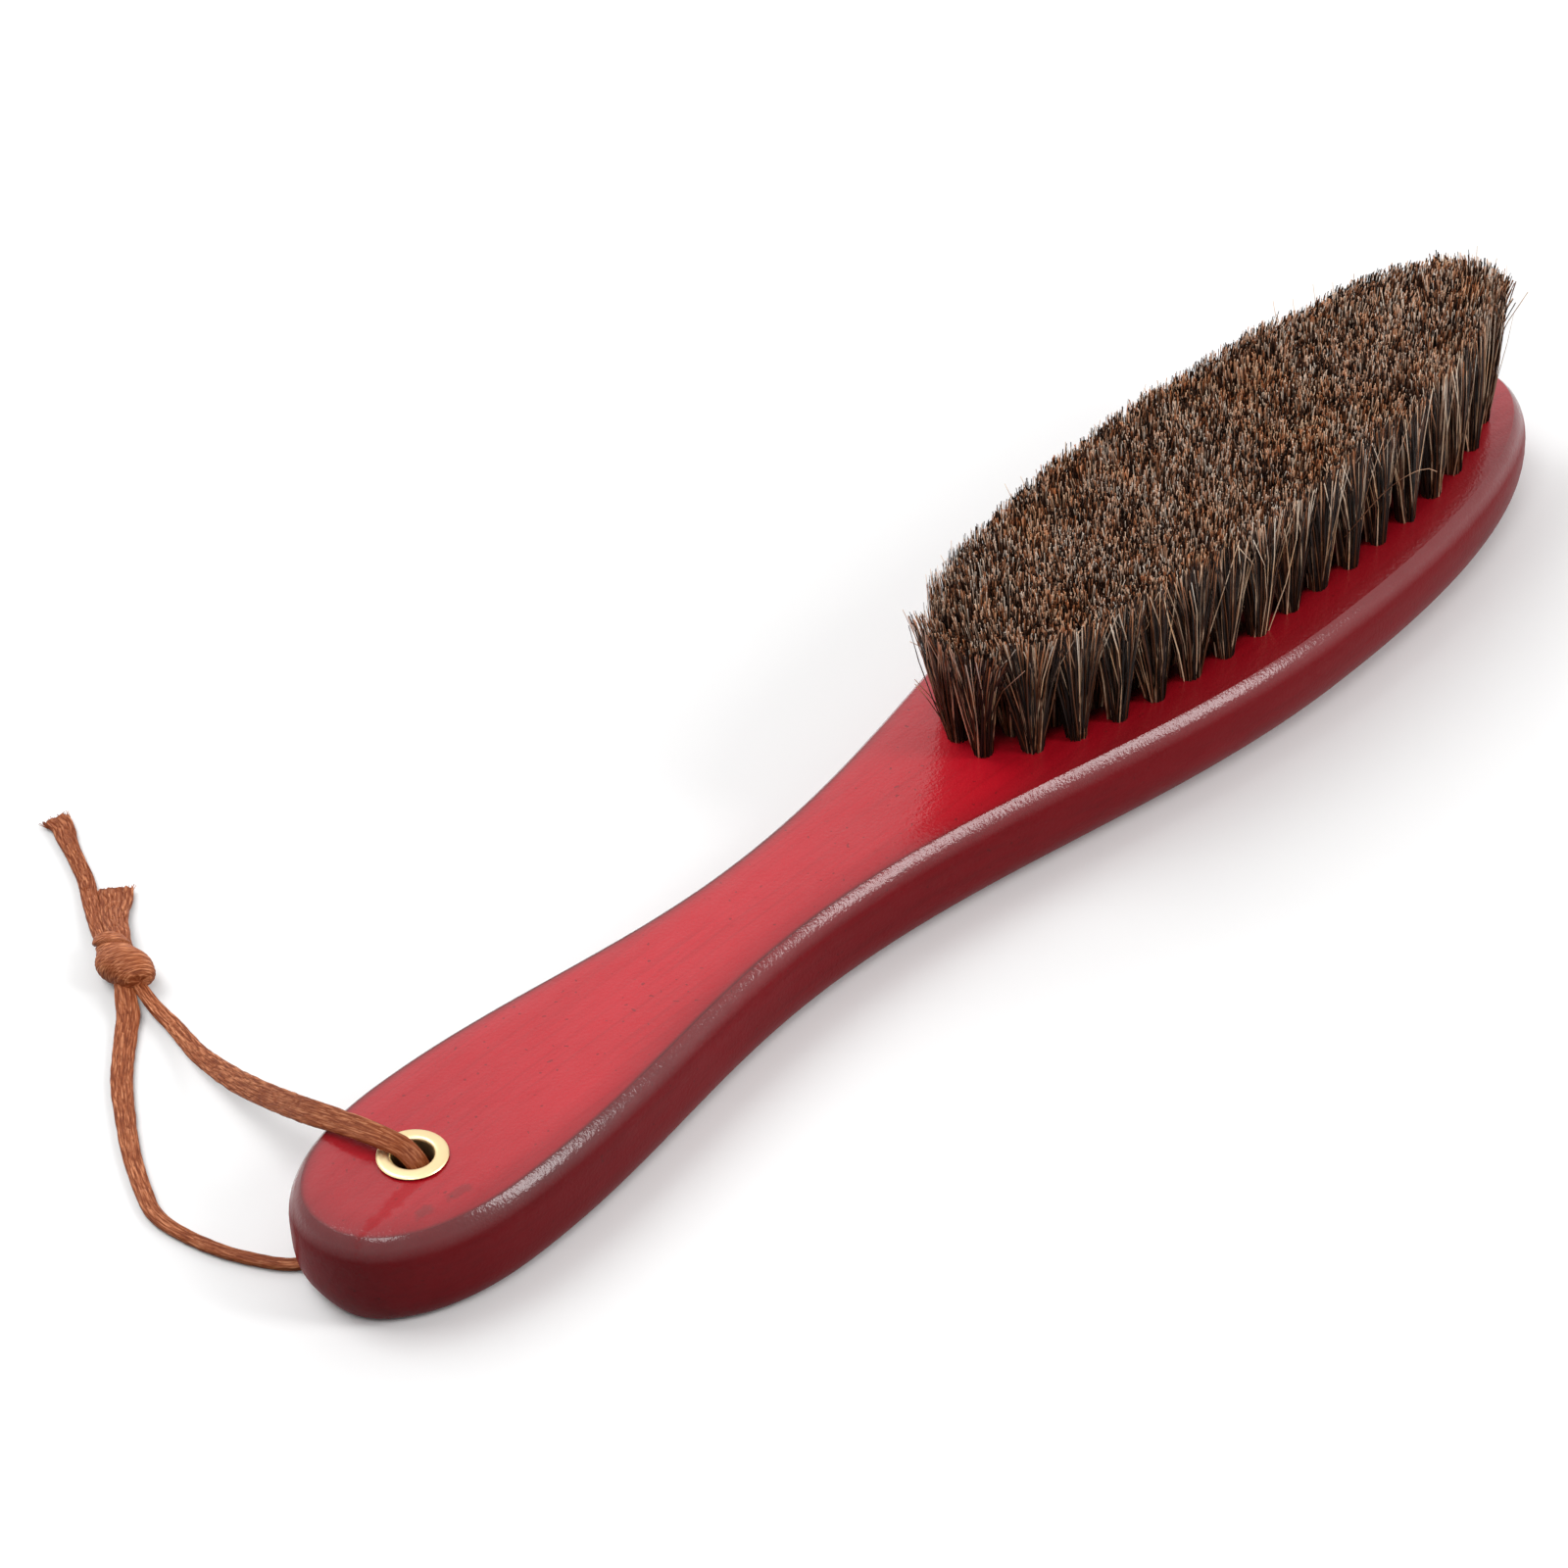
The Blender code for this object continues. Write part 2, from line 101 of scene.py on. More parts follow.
# The flange from its rim inward, as (radius, height)
FLANGE_TOP = (
    (0.00496, 0.0), (0.00500, 0.00006), (0.00492, 0.00016), (0.00480, 0.00026),
    (0.00440, 0.00030), (0.00400, 0.00034), (0.00370, 0.00036),
)

# Hair
HEEL_REACH = 0.0583
TOE_REACH = 0.0580
TUFT_HALF = 0.0158
RING_STEP = (0.0060, 0.00525)
HAIR_LENGTH = 0.0220
HAIRS_IN_TUFT = 320
TUFT_RADIUS = 0.00145
TUFT_SPREAD = 0.0040
TUFT_PATTERNS = 5
HEEL_ROUNDNESS = 2.2
HEEL_ROUNDNESS_STEP = 0.2
TOE_HAIR_ROUNDNESS = 2.8
TUFT_RINGS = (("outer", 18), ("middle", 16), ("inner", 14))
CENTRE_TUFTS = 12
CENTRE_INSET = 3.5 * RING_STEP[0]
ROOT_DEPTH = 0.001
STRAGGLING_SHARE = 0.10
WANDER_LIMIT = 0.0034
HAIR_TONES = (0.14, 0.20, 0.26, 0.58, 0.84)
STRAGGLING_TONE = 0.94
# Chance variation in how a tuft leans and where it stands
LEAN_CHANCE = 0.012
PLACE_CHANCE = 0.00012
# Hairs that stand out of the near side and the heel, as routes
STRAY_HAIRS = (
    ((0.0050, 0.0030, 0.0155), (0.0056, 0.0058, 0.0168), (0.0061, 0.0081, 0.0185), (0.0054, 0.0113, 0.0215)),
    ((0.0045, 0.0030, 0.0152), (0.0050, 0.0055, 0.0166), (0.0055, 0.0088, 0.0188), (0.0060, 0.0118, 0.0200)),
    ((0.0058, 0.0030, 0.0220), (0.0056, 0.0055, 0.0262), (0.0036, 0.0078, 0.0302), (0.0022, 0.0090, 0.0316)),
    (
        (0.0684, -0.019, 0.0252),
        (0.0682, -0.0215, 0.0293),
        (0.074, -0.0215, 0.031),
        (0.0788, -0.0215, 0.0312),
        (0.0831, -0.0215, 0.0304),
        (0.0856, -0.0215, 0.0293),
        (0.0876, -0.0215, 0.0276),
    ),
)

# Cord: a flat waxed braid
CORD_THICKNESS = 0.0011
PLAIT_LANES = 3.8
PLAIT_PITCH = 0.0044
FIBRE_HELD = 0.0012
FIBRE_LOWEST = 0.0002
KNOT_HEADING = math.radians(59)
KNOT = Vector((-0.0988, 0.0727, 0.0030))
KNOT_HALF = (0.0058, 0.0040, 0.0029)
KNOT_LANES = 8.0
KNOT_ALONG = Vector((math.cos(KNOT_HEADING), math.sin(KNOT_HEADING), 0))
KNOT_ACROSS = Vector((-KNOT_ALONG.y, KNOT_ALONG.x, 0))

# The loop, from the knot over the far edge of the handle, down the hole and back under the handle
LOOP_ROUTE = (
    (-0.1007, 0.0673, 0.0020), (-0.1019, 0.0625, 0.0013), (-0.1032, 0.0569, 0.0015),
    (-0.1056, 0.0501, 0.0027), (-0.1074, 0.0438, 0.0046), (-0.1091, 0.0377, 0.0069),
    (-0.1105, 0.0320, 0.0093), (-0.1117, 0.0263, 0.0118), (-0.1127, 0.0211, 0.0141),
    (-0.1133, 0.0164, 0.0160), (-0.1132, 0.0115, 0.0173), (-0.1125, 0.0073, 0.0177),
    (-0.1118, 0.0043, 0.0175), (-0.1109, 0.0013, 0.0167), (-0.1103, -0.0008, 0.0144),
    (-0.1100, -0.0016, 0.0113), (-0.1096, -0.0012, 0.0090), (-0.1094, -0.0007, 0.0068),
    (-0.1098, -0.0004, 0.0044), (-0.1110, 0.0003, 0.0024), (-0.1127, 0.0013, 0.0011),
    (-0.1147, 0.0025, 0.0006), (-0.1200, 0.0058, 0.0006), (-0.1255, 0.0097, 0.0006),
    (-0.1283, 0.0145, 0.0006), (-0.1303, 0.0202, 0.0006), (-0.1313, 0.0270, 0.0006),
    (-0.1310, 0.0315, 0.0006), (-0.1293, 0.0355, 0.0006), (-0.1250, 0.0428, 0.0006),
    (-0.1201, 0.0495, 0.0006), (-0.1148, 0.0560, 0.0006), (-0.1087, 0.0618, 0.0006),
    (-0.1052, 0.0650, 0.0009), (-0.1029, 0.0680, 0.0016), (-0.1008, 0.0706, 0.0024),
)
# Which way the flat of the loop faces, as (number along the route, direction)
LOOP_FACING = (
    (0, (0, 0, 1)), (3, (-0.35, 0.2, 0.9)), (6, (-0.62, 0.3, 0.7)), (9, (-0.5, 0.25, 0.83)),
    (12, (-0.15, 0.05, 1)), (13, (0, -0.5, 0.85)), (14.5, (0, -1, 0.1)), (17, (-0.35, -0.93, 0)),
    (19, (-0.6, -0.5, -0.6)), (21, (0, 0, -1)), (35, (0, 0, -1)),
)
# How wide the loop lies, in millimetres, as (number along the route, width)
LOOP_WIDTH = (
    (0, 2.0), (2, 2.5), (5, 3.4), (9, 3.7), (13, 3.5), (16, 2.8), (19, 2.4), (23, 2.1), (26, 2.2),
    (29, 2.7), (31, 3.3), (33, 3.5), (34, 3.2), (35, 2.8),
)
# How much painted shade darkens the loop, most in the hole and where it passes under the handle, and on its
# upper limb over the handle, as (number along the route, share)
LOOP_PAINTED_SHADE = ((0, 0.0), (4, 0.0), (8, 0.3), (14, 0.5), (18, 0.45), (24, 0.3), (28, 0.0), (35, 0.1))
LONG_TAIL_ROUTE = (
    (-0.0973, 0.0782, 0.0022), (-0.0956, 0.0815, 0.0013), (-0.0915, 0.0880, 0.0007),
    (-0.0887, 0.0920, 0.0006), (-0.0865, 0.0963, 0.0006), (-0.0843, 0.1008, 0.0006),
    (-0.0825, 0.1040, 0.0006), (-0.0818, 0.1064, 0.0006),
)
SHORT_TAIL_ROUTE = (
    (-0.0968, 0.0748, 0.0026), (-0.0953, 0.0772, 0.0024), (-0.0921, 0.0820, 0.0014),
    (-0.0894, 0.0847, 0.0009), (-0.0873, 0.0871, 0.0007),
)


# Helpers


def ease(share):
    return (1 - math.cos(math.pi * min(max(share, 0), 1))) / 2


def mix(a, b, share):
    return a + (b - a) * share


def rounded_quarter(length, width, roundness, angle):
    power = 2 / roundness
    return length * max(math.cos(angle), 0) ** power, width * max(math.sin(angle), 0) ** power


def new_piece(name, bm, finish, slot, *nodes):
    """A finished piece of the brush, in the brush's own place."""
    mesh = bpy.data.meshes.new(name)
    bm.to_mesh(mesh)
    bm.free()
    piece = bpy.data.objects.new(name, mesh)
    bpy.context.scene.collection.objects.link(piece)
    mesh.materials.append(finish)
    dress(piece, slot, *nodes)
    return piece


def dress(piece, slot, *nodes):
    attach(piece, "root")
    if nodes:
        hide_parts(*nodes)


def smooth(mesh, angle=32):
    mesh.shade_smooth()
    mesh.set_sharp_from_angle(angle=math.radians(angle))


def spaced_along(points, count):
    """Places spread evenly along a line of points, with one at each end."""
    lengths = [0.0]
    for first, second in zip(points, points[1:]):
        lengths.append(lengths[-1] + math.dist(first, second))
    places = []
    segment = 0
    for i in range(count):
        wanted = lengths[-1] * i / (count - 1)
        while lengths[segment + 1] < wanted and segment + 2 < len(lengths):
            segment += 1
        share = (wanted - lengths[segment]) / (lengths[segment + 1] - lengths[segment])
        places.append(Vector(points[segment]).lerp(Vector(points[segment + 1]), share))
    return places


# Finishes


class Finish:
    """A node material, with short words for the nodes that the finishes share."""

    def __init__(self, name):
        self.material = bpy.data.materials.new(name)
        self.material.use_nodes = True
        self.nodes = self.material.node_tree.nodes
        self.links = self.material.node_tree.links
        self.shader = self.nodes["Principled BSDF"]

    def node(self, kind, **settings):
        made = self.nodes.new(kind)
        for key, value in settings.items():
            setattr(made, key, value)
        return made

    def join(self, source, target):
        self.links.new(source, target)

    def place(self, scale=(1, 1, 1), offset=(0, 0, 0), attribute=None):
        if attribute:
            source = self.node("ShaderNodeAttribute", attribute_name=attribute).outputs["Vector"]
        else:
            source = self.node("ShaderNodeTexCoord").outputs["Object"]
        mapping = self.node("ShaderNodeMapping")
        mapping.inputs["Location"].default_value = offset
        mapping.inputs["Scale"].default_value = scale
        self.join(source, mapping.inputs["Vector"])
        return mapping.outputs["Vector"]

    def spot(self, centre, half, turn=0.0):
        """1 in the middle of an oval spot on the face of the board, falling to 0 at its rim."""
        mapping = self.node("ShaderNodeMapping", vector_type="TEXTURE")
        mapping.inputs["Location"].default_value = (*centre, FACE)
        mapping.inputs["Rotation"].default_value = (0, 0, turn)
        mapping.inputs["Scale"].default_value = (*half, 0.01)
        self.join(self.node("ShaderNodeTexCoord").outputs["Object"], mapping.inputs["Vector"])
        oval = self.node("ShaderNodeTexGradient", gradient_type="SPHERICAL")
        self.join(mapping.outputs["Vector"], oval.inputs["Vector"])
        return oval.outputs["Fac"]

    def noise(self, place, scale, detail=3, roughness=0.5, distortion=0.0):
        texture = self.node("ShaderNodeTexNoise")
        texture.inputs["Scale"].default_value = scale
        texture.inputs["Detail"].default_value = detail
        texture.inputs["Roughness"].default_value = roughness
        texture.inputs["Distortion"].default_value = distortion
        self.join(place, texture.inputs["Vector"])
        return texture.outputs["Fac"]

    def ramp(self, factor, *stops):
        ramp = self.node("ShaderNodeValToRGB")
        elements = ramp.color_ramp.elements
        while len(elements) < len(stops):
            elements.new(0.5)
        for element, (position, colour) in zip(elements, stops):
            element.position = position
            element.color = (*colour, 1) if isinstance(colour, tuple) else (colour, colour, colour, 1)
        self.join(factor, ramp.inputs["Fac"])
        return ramp.outputs["Color"]

    def blend(self, factor, first, second, kind="MIX"):
        made = self.node("ShaderNodeMix", data_type="RGBA", blend_type=kind)
        for socket, value in ((made.inputs[0], factor), (made.inputs[6], first), (made.inputs[7], second)):
            if isinstance(value, bpy.types.NodeSocket):
                self.join(value, socket)
            elif isinstance(value, tuple):
                socket.default_value = (*value, 1)
            else:
                socket.default_value = value
        return made.outputs[2]

    def sums(self, kind, first, second):
        made = self.node("ShaderNodeMath", operation=kind)
        for socket, value in zip(made.inputs, (first, second)):
            if isinstance(value, bpy.types.NodeSocket):
                self.join(value, socket)
            else:
                socket.default_value = value
        return made.outputs[0]

    def bump(self, height, strength, distance, under=None):
        made = self.node("ShaderNodeBump")
        made.inputs["Strength"].default_value = strength
        made.inputs["Distance"].default_value = distance
        self.join(height, made.inputs["Height"])
        if under:
            self.join(under, made.inputs["Normal"])
        return made.outputs["Normal"]

    def set(self, **values):
        for name, value in values.items():
            self.shader.inputs[name.replace("_", " ")].default_value = value


def red_lacquer():
    """Red-stained wood with faint grain, painted shade and a painted reflection of the cord, under finely
    rippled clear lacquer that is thinner on the sides.
    """
    finish = Finish("red_lacquered_wood")
    drift = finish.noise(finish.place((10, 45, 45)), 1.0, 3, 0.6, 0.5)
    grain = finish.noise(finish.place((26, 900, 900)), 1.0, 4, 0.62, 0.25)
    stain_and_shade = finish.ramp(drift, (0.3, (0.47, 0.0030, 0.012)), (0.7, (0.57, 0.0045, 0.018)))
    # Painted shade: the stain colour darkens towards near black, mottled, down the sides, at the crease and
    # along the near edge of the face, as deep as the board's depth attribute says.
    depth = finish.node("ShaderNodeAttribute", attribute_name="painted_shade_depth").outputs["Fac"]
    mottle = finish.ramp(finish.noise(finish.place((45, 130, 130)), 1.0, 4, 0.65), (0.35, 0.90), (0.65, 1.0))
    stain_and_shade = finish.blend(finish.sums("MULTIPLY", depth, mottle), stain_and_shade, (0.062, 0.0004, 0.0014))
    lines = finish.ramp(grain, (0.34, 0.75), (0.52, 1.0))
    colour = finish.blend(0.5, stain_and_shade, lines, "MULTIPLY")
    specks = finish.noise(finish.place(), 1500, 0)
    colour = finish.blend(finish.ramp(specks, (0.80, 0.0), (0.84, 0.5)), colour, (0.06, 0.003, 0.004))
    rough = finish.sums("SUBTRACT", finish.noise(finish.place(), 620, 3, 0.65), 0.5)
    rough = finish.sums("MULTIPLY", rough, 1.4)

    def mark(centre, half, turn=0.0):
        """A spot with a ragged rim, on the face of the handle."""
        oval = finish.sums("ADD", finish.spot(centre, half, turn), rough)
        return finish.ramp(oval, (0.22, 0.0), (0.55, 1.0))

    # Darker towards the handle end, and painted shade and reflection of the bristles on the near strip of the
    # face in front of them.
    deep_end = finish.ramp(finish.spot((HANDLE_TIP - 0.004, 0), (0.045, 0.045)), (0.0, 0.0), (0.8, 0.45))
    bristle_shade_strip = finish.ramp(finish.spot((HEAD_X + 0.003, -0.0195), (0.086, 0.016)), (0.0, 0.0), (0.45, 0.6))
    colour = finish.blend(finish.sums("MAXIMUM", deep_end, bristle_shade_strip), colour, (0.19, 0.0016, 0.005))
    # Painted shade, nearly black, on the face among the tufts.
    shade_among_tufts = finish.ramp(finish.spot((HEAD_X, 0), (HEEL_REACH, TUFT_HALF)), (0.01, 0.0), (0.08, 0.9))
    colour = finish.blend(shade_among_tufts, colour, (0.012, 0.001, 0.001))
    # Two darker patches on the face near the handle end.
    dark_patches = finish.sums(
        "MAXIMUM", mark((-0.1173, -0.0088), (0.0026, 0.0015)), mark((-0.1112, -0.0098), (0.0034, 0.0015))
    )
    colour = finish.blend(finish.sums("MULTIPLY", dark_patches, 0.34), colour, (0.05, 0.016, 0.014))
    # Painted reflection of the cord in the lacquer: a redder band beside the eyelet.
    cord_reflection = mark((-0.1180, -0.0045), (0.0105, 0.0017), 0.13)
    colour = finish.blend(finish.sums("MULTIPLY", cord_reflection, 0.3), colour, (0.36, 0.003, 0.006))
    finish.join(colour, finish.shader.inputs["Base Color"])
    gloss = finish.ramp(finish.noise(finish.place((1, 2, 2)), 240, 4, 0.62), (0.3, 0.80), (0.7, 1.0))
    # The painted cord reflection also takes most of the coat away there.
    gloss = finish.blend(cord_reflection, gloss, (0.32, 0.32, 0.32))
    upward = finish.node("ShaderNodeSeparateXYZ")
    finish.join(finish.node("ShaderNodeTexCoord").outputs["Normal"], upward.inputs["Vector"])
    polish = finish.ramp(upward.outputs["Z"], (0.22, 0.20), (0.48, 1.0))
    gloss = finish.blend(1.0, gloss, polish, "MULTIPLY")
    finish.join(gloss, finish.shader.inputs["Coat Weight"])
    peel = finish.noise(finish.place(), 1900, 2, 0.6)
    ripple = finish.noise(finish.place((60, 260, 260)), 1.0, 2)
    coat = finish.bump(peel, 0.60, 0.00010, finish.bump(ripple, 0.10, 0.0004))
    finish.join(coat, finish.shader.inputs["Coat Normal"])
    finish.join(finish.bump(grain, 0.12, 0.0001, coat), finish.shader.inputs["Normal"])
    finish.set(Roughness=0.5, Coat_Roughness=0.11, Coat_IOR=1.5)
    finish.join(finish.sums("MULTIPLY", polish, 0.2), finish.shader.inputs["Specular IOR Level"])
    return finish.material


def pale_brass():
    """Bright pressed brass, faintly brushed round the flange, with painted shade darkening it down the
    barrel.
    """
    finish = Finish("polished_brass")
    centred = finish.place(offset=(-HOLE_X, 0, 0))
    scuffs = finish.noise(centred, 1400, 3, 0.6)
    cloud = finish.noise(centred, 260, 2)
    colour = finish.blend(finish.ramp(cloud, (0.35, 0.0), (0.7, 0.5)), (0.94, 0.75, 0.43), (0.88, 0.68, 0.37))
    # Painted shade: the brass darkens to dark brown from the face down the barrel.
    height = finish.node("ShaderNodeSeparateXYZ")
    finish.join(centred, height.inputs["Vector"])
    depth = finish.node("ShaderNodeMapRange")
    depth.inputs["From Min"].default_value = FACE - 0.0045
    depth.inputs["From Max"].default_value = FACE
    finish.join(height.outputs["Z"], depth.inputs["Value"])
    colour = finish.blend(depth.outputs["Result"], (0.16, 0.10, 0.04), colour)
    finish.join(colour, finish.shader.inputs["Base Color"])
    finish.join(finish.ramp(scuffs, (0.3, 0.34), (0.7, 0.42)), finish.shader.inputs["Roughness"])
    finish.set(Metallic=1.0)
    return finish.material


def brown_horsehair():
    """Mixed hair from near black to cream, each hair of one shade, with painted shade darkening most of its
    length and a painted highlight paling it towards its trimmed tip.
    """
    finish = Finish("brown_horsehair")
    hair = finish.node("ShaderNodeSeparateXYZ")
    drawn = finish.node("ShaderNodeAttribute", attribute_name="hair_shade")
    finish.join(drawn.outputs["Vector"], hair.inputs["Vector"])
    patches = finish.noise(finish.place(offset=(0.013, 0.020, 0)), 150, 3, 0.7)
    shift = finish.sums("MULTIPLY", finish.sums("SUBTRACT", patches, 0.5), 0.55)
    shifted = finish.sums("ADD", hair.outputs["X"], shift)
    # Painted shade: the lower part of each hair takes a much darker copy of its tone.
    colour = finish.ramp(
        shifted,
        (0.18, (0.006, 0.003, 0.002)),
        (0.40, (0.022, 0.009, 0.005)),
        (0.60, (0.072, 0.024, 0.010)),
        (0.86, (0.155, 0.061, 0.027)),
        (1.00, (0.72, 0.50, 0.34)),
    )
    # Painted highlight: a much paler copy of the same tones, laid on from about two thirds of the way up each
    # hair.
    lit_tips = finish.ramp(
        shifted,
        (0.18, (0.016, 0.008, 0.006)),
        (0.40, (0.09, 0.034, 0.018)),
        (0.60, (0.57, 0.23, 0.105)),
        (0.80, (0.98, 0.65, 0.45)),
        (1.00, (1.0, 0.90, 0.79)),
    )
    colour = finish.blend(finish.ramp(hair.outputs["Y"], (0.62, 0.0), (0.97, 1.0)), colour, lit_tips)
    warm = finish.ramp(finish.noise(finish.place(), 120, 3, 0.7), (0.45, 0.0), (0.62, 0.9))
    colour = finish.blend(warm, colour, (1.0, 0.82, 0.64), "MULTIPLY")
    finish.join(colour, finish.shader.inputs["Base Color"])
    finish.set(Roughness=0.5, Specular_IOR_Level=0.15)
    return finish.material


def waxed_braid():
    """Waxed brown braid: fine fibres along each strand, in full colour on the crowns, with painted shade in
    the grooves, the pleats and the knot's fold, and on stretches of the loop.
    """
    finish = Finish("waxed_brown_cord")
    fibres = finish.noise(finish.place((4800, 4800, 360), attribute="cord_place"), 1.0, 2, 0.6, 0.3)
    cloud = finish.noise(finish.place(), 260, 3)
    colour = finish.ramp(
        fibres,
        (0.34, (0.17, 0.036, 0.011)),
        (0.50, (0.43, 0.122, 0.043)),
        (0.67, (0.82, 0.34, 0.16)),
    )
    colour = finish.blend(finish.ramp(cloud, (0.4, 0.0), (0.75, 0.4)), colour, (0.30, 0.075, 0.026))
    # Painted shade: the groove value darkens the braid to dark brown.
    groove = finish.node("ShaderNodeAttribute", attribute_name="groove").outputs["Fac"]
    colour = finish.blend(finish.sums("MULTIPLY", groove, 0.95), colour, (0.165, 0.027, 0.003))
    finish.join(colour, finish.shader.inputs["Base Color"])
    finish.join(finish.bump(fibres, 0.5, 0.00020), finish.shader.inputs["Normal"])
    finish.set(Roughness=0.5, Specular_IOR_Level=0.18)
    return finish.material


def background_rays(tree):
    """One for a ray from the camera, from metal or from glass, which all show the white background."""
    rays = tree.nodes.new("ShaderNodeLightPath")
    seen = rays.outputs["Is Camera Ray"]
    for name in ("Is Glossy Ray", "Is Transmission Ray"):
        either = tree.nodes.new("ShaderNodeMath")
        either.operation = "MAXIMUM"
        tree.links.new(seen, either.inputs[0])
        tree.links.new(rays.outputs[name], either.inputs[1])
        seen = either.outputs["Value"]
    return seen


def pale_paper():
    """White where it is seen or mirrored, and dim in the light it throws back up, most by the handle."""
    finish = Finish("pale_floor")
    tone = finish.ramp(finish.noise(finish.place(), 3, 1), (0.3, 0.975), (0.7, 0.985))
    along = finish.node("ShaderNodeSeparateXYZ")
    finish.join(finish.place(), along.inputs["Vector"])
    thrown = finish.node("ShaderNodeMapRange")
    for name, value in (("From Min", -0.10), ("From Max", 0.02), ("To Min", 0.10), ("To Max", 0.36)):
        thrown.inputs[name].default_value = value
    finish.join(along.outputs["X"], thrown.inputs["Value"])
    colour = finish.blend(background_rays(finish.material.node_tree), thrown.outputs["Result"], tone)
    finish.join(colour, finish.shader.inputs["Base Color"])
    finish.set(Roughness=0.9, Specular_IOR_Level=0.1)
    return finish.material


# Studio


def set_camera():
    """A long lens above the near handle end, as far off as the picture was taken."""
    camera = bpy.data.objects.new("camera", bpy.data.cameras.new("camera"))
    camera.data.lens = LENS
    camera.data.sensor_width = 36
    camera.data.clip_start = 0.01
    turn = Matrix.Rotation(math.radians(CAMERA_TURN), 4, "Z")
    tilt = Matrix.Rotation(math.radians(90 - CAMERA_HEIGHT), 4, "X")
    roll = Matrix.Rotation(math.radians(CAMERA_ROLL), 4, "Z")
    camera.matrix_world = Matrix.Translation(CAMERA_PLACE) @ turn @ tilt @ roll
    bpy.context.scene.collection.objects.link(camera)
    bpy.context.scene.camera = camera


def soft_box(name, place, size, watts):
    """An area lamp that points at the origin."""
    lamp = bpy.data.lights.new(name, "AREA")
    lamp.shape = "RECTANGLE"
    lamp.size, lamp.size_y = size
    lamp.energy = watts
    thing = bpy.data.objects.new(name, lamp)
    thing.location = place
    thing.rotation_euler = (-Vector(place)).to_track_quat("-Z", "Y").to_euler()
    bpy.context.scene.collection.objects.link(thing)


def set_studio():
    """A studio that looks white, seen or mirrored, and lights the brush softly, most from beyond it."""
    scene = bpy.context.scene
    scene.view_settings.view_transform = "Standard"
    world = bpy.data.worlds.new("studio")
    scene.world = world
    world.use_nodes = True
    nodes, links = world.node_tree.nodes, world.node_tree.links
    direction = nodes.new("ShaderNodeTexCoord").outputs["Generated"]
    height = nodes.new("ShaderNodeSeparateXYZ")
    links.new(direction, height.inputs["Vector"])
    beyond = nodes.new("ShaderNodeVectorMath")
    beyond.operation = "DOT_PRODUCT"
    beyond.inputs[1].default_value = (0.707, 0.707, 0)
    links.new(direction, beyond.inputs[0])

    def ramp(source, start, end, low, high):
        made = nodes.new("ShaderNodeMapRange")
        made.interpolation_type = "SMOOTHSTEP"
        for name, value in (("From Min", start), ("From Max", end), ("To Min", low), ("To Max", high)):
            made.inputs[name].default_value = value
        links.new(source, made.inputs["Value"])
        return made.outputs["Result"]

    def sums(kind, first, second):
        made = nodes.new("ShaderNodeMath")
        made.operation = kind
        links.new(first, made.inputs[0])
        links.new(second, made.inputs[1])
        return made.outputs["Value"]

    far_side = ramp(beyond.outputs["Value"], 0.05, 0.6, 0, 1.62)
    sweep = sums("MULTIPLY", far_side, ramp(height.outputs["Z"], 0.68, 0.78, 1, 0))
    level = sums("MAXIMUM", sweep, ramp(height.outputs["Z"], 0.25, 0.8, 0.08, 0.30))
    surround = nodes["Background"]
    surround.inputs["Color"].default_value = (1, 1, 1, 1)
    seen = nodes.new("ShaderNodeBackground")
    seen.inputs["Color"].default_value = (1, 1, 1, 1)
    swap = nodes.new("ShaderNodeMixShader")
    links.new(level, surround.inputs["Strength"])
    links.new(background_rays(world.node_tree), swap.inputs["Fac"])
    links.new(surround.outputs["Background"], swap.inputs[1])
    links.new(seen.outputs["Background"], swap.inputs[2])
    links.new(swap.outputs["Shader"], nodes["World Output"].inputs["Surface"])
    for lamp in SOFT_BOXES:
        soft_box(*lamp)
    bm = bmesh.new()
    bmesh.ops.create_grid(
        bm, x_segments=1, y_segments=1, size=FLOOR_REACH,
        matrix=Matrix.Translation((0, 0, -FLOOR_DROP)),
    )
    mesh = bpy.data.meshes.new("floor")
    bm.to_mesh(mesh)
    bm.free()
    floor = bpy.data.objects.new("floor", mesh)
    mesh.materials.append(pale_paper())
    scene.collection.objects.link(floor)


# Cord


def smooth_route(route, step):
    """(point, place along the route) about every step along a smooth curve through the route's points."""
    knots = [Vector(point) for point in route]
    padded = [2 * knots[0] - knots[1]] + knots + [2 * knots[-1] - knots[-2]]
    points = []
    for number, (before, start, end, after) in enumerate(zip(padded, padded[1:], padded[2:], padded[3:])):
        samples = max(1, round((end - start).length / step))
        for sample in range(samples):
            t = sample / samples
            point = (
                2 * start
                + (end - before) * t
                + (2 * before - 5 * start + 4 * end - after) * t**2
                + (3 * start - before - 3 * end + after) * t**3
            ) / 2
            points.append((point, number + t))
    return points + [(knots[-1], len(knots) - 1.0)]


def value_at(table, where):
    """The value at a place on a route, from a table of (place, value or direction)."""
    for (first, one), (second, other) in zip(table, table[1:]):
        if where <= second:
            share = max(0, where - first) / (second - first)
            if isinstance(one, tuple):
                return Vector(one).lerp(Vector(other), share)
            return mix(one, other, share)
    last = table[-1][1]
    return Vector(last) if isinstance(last, tuple) else last


def braid_layers(bm):
    groove = bm.verts.layers.float.get("groove") or bm.verts.layers.float.new("groove")
    place = bm.verts.layers.float_vector.get("cord_place") or bm.verts.layers.float_vector.new("cord_place")
    return groove, place


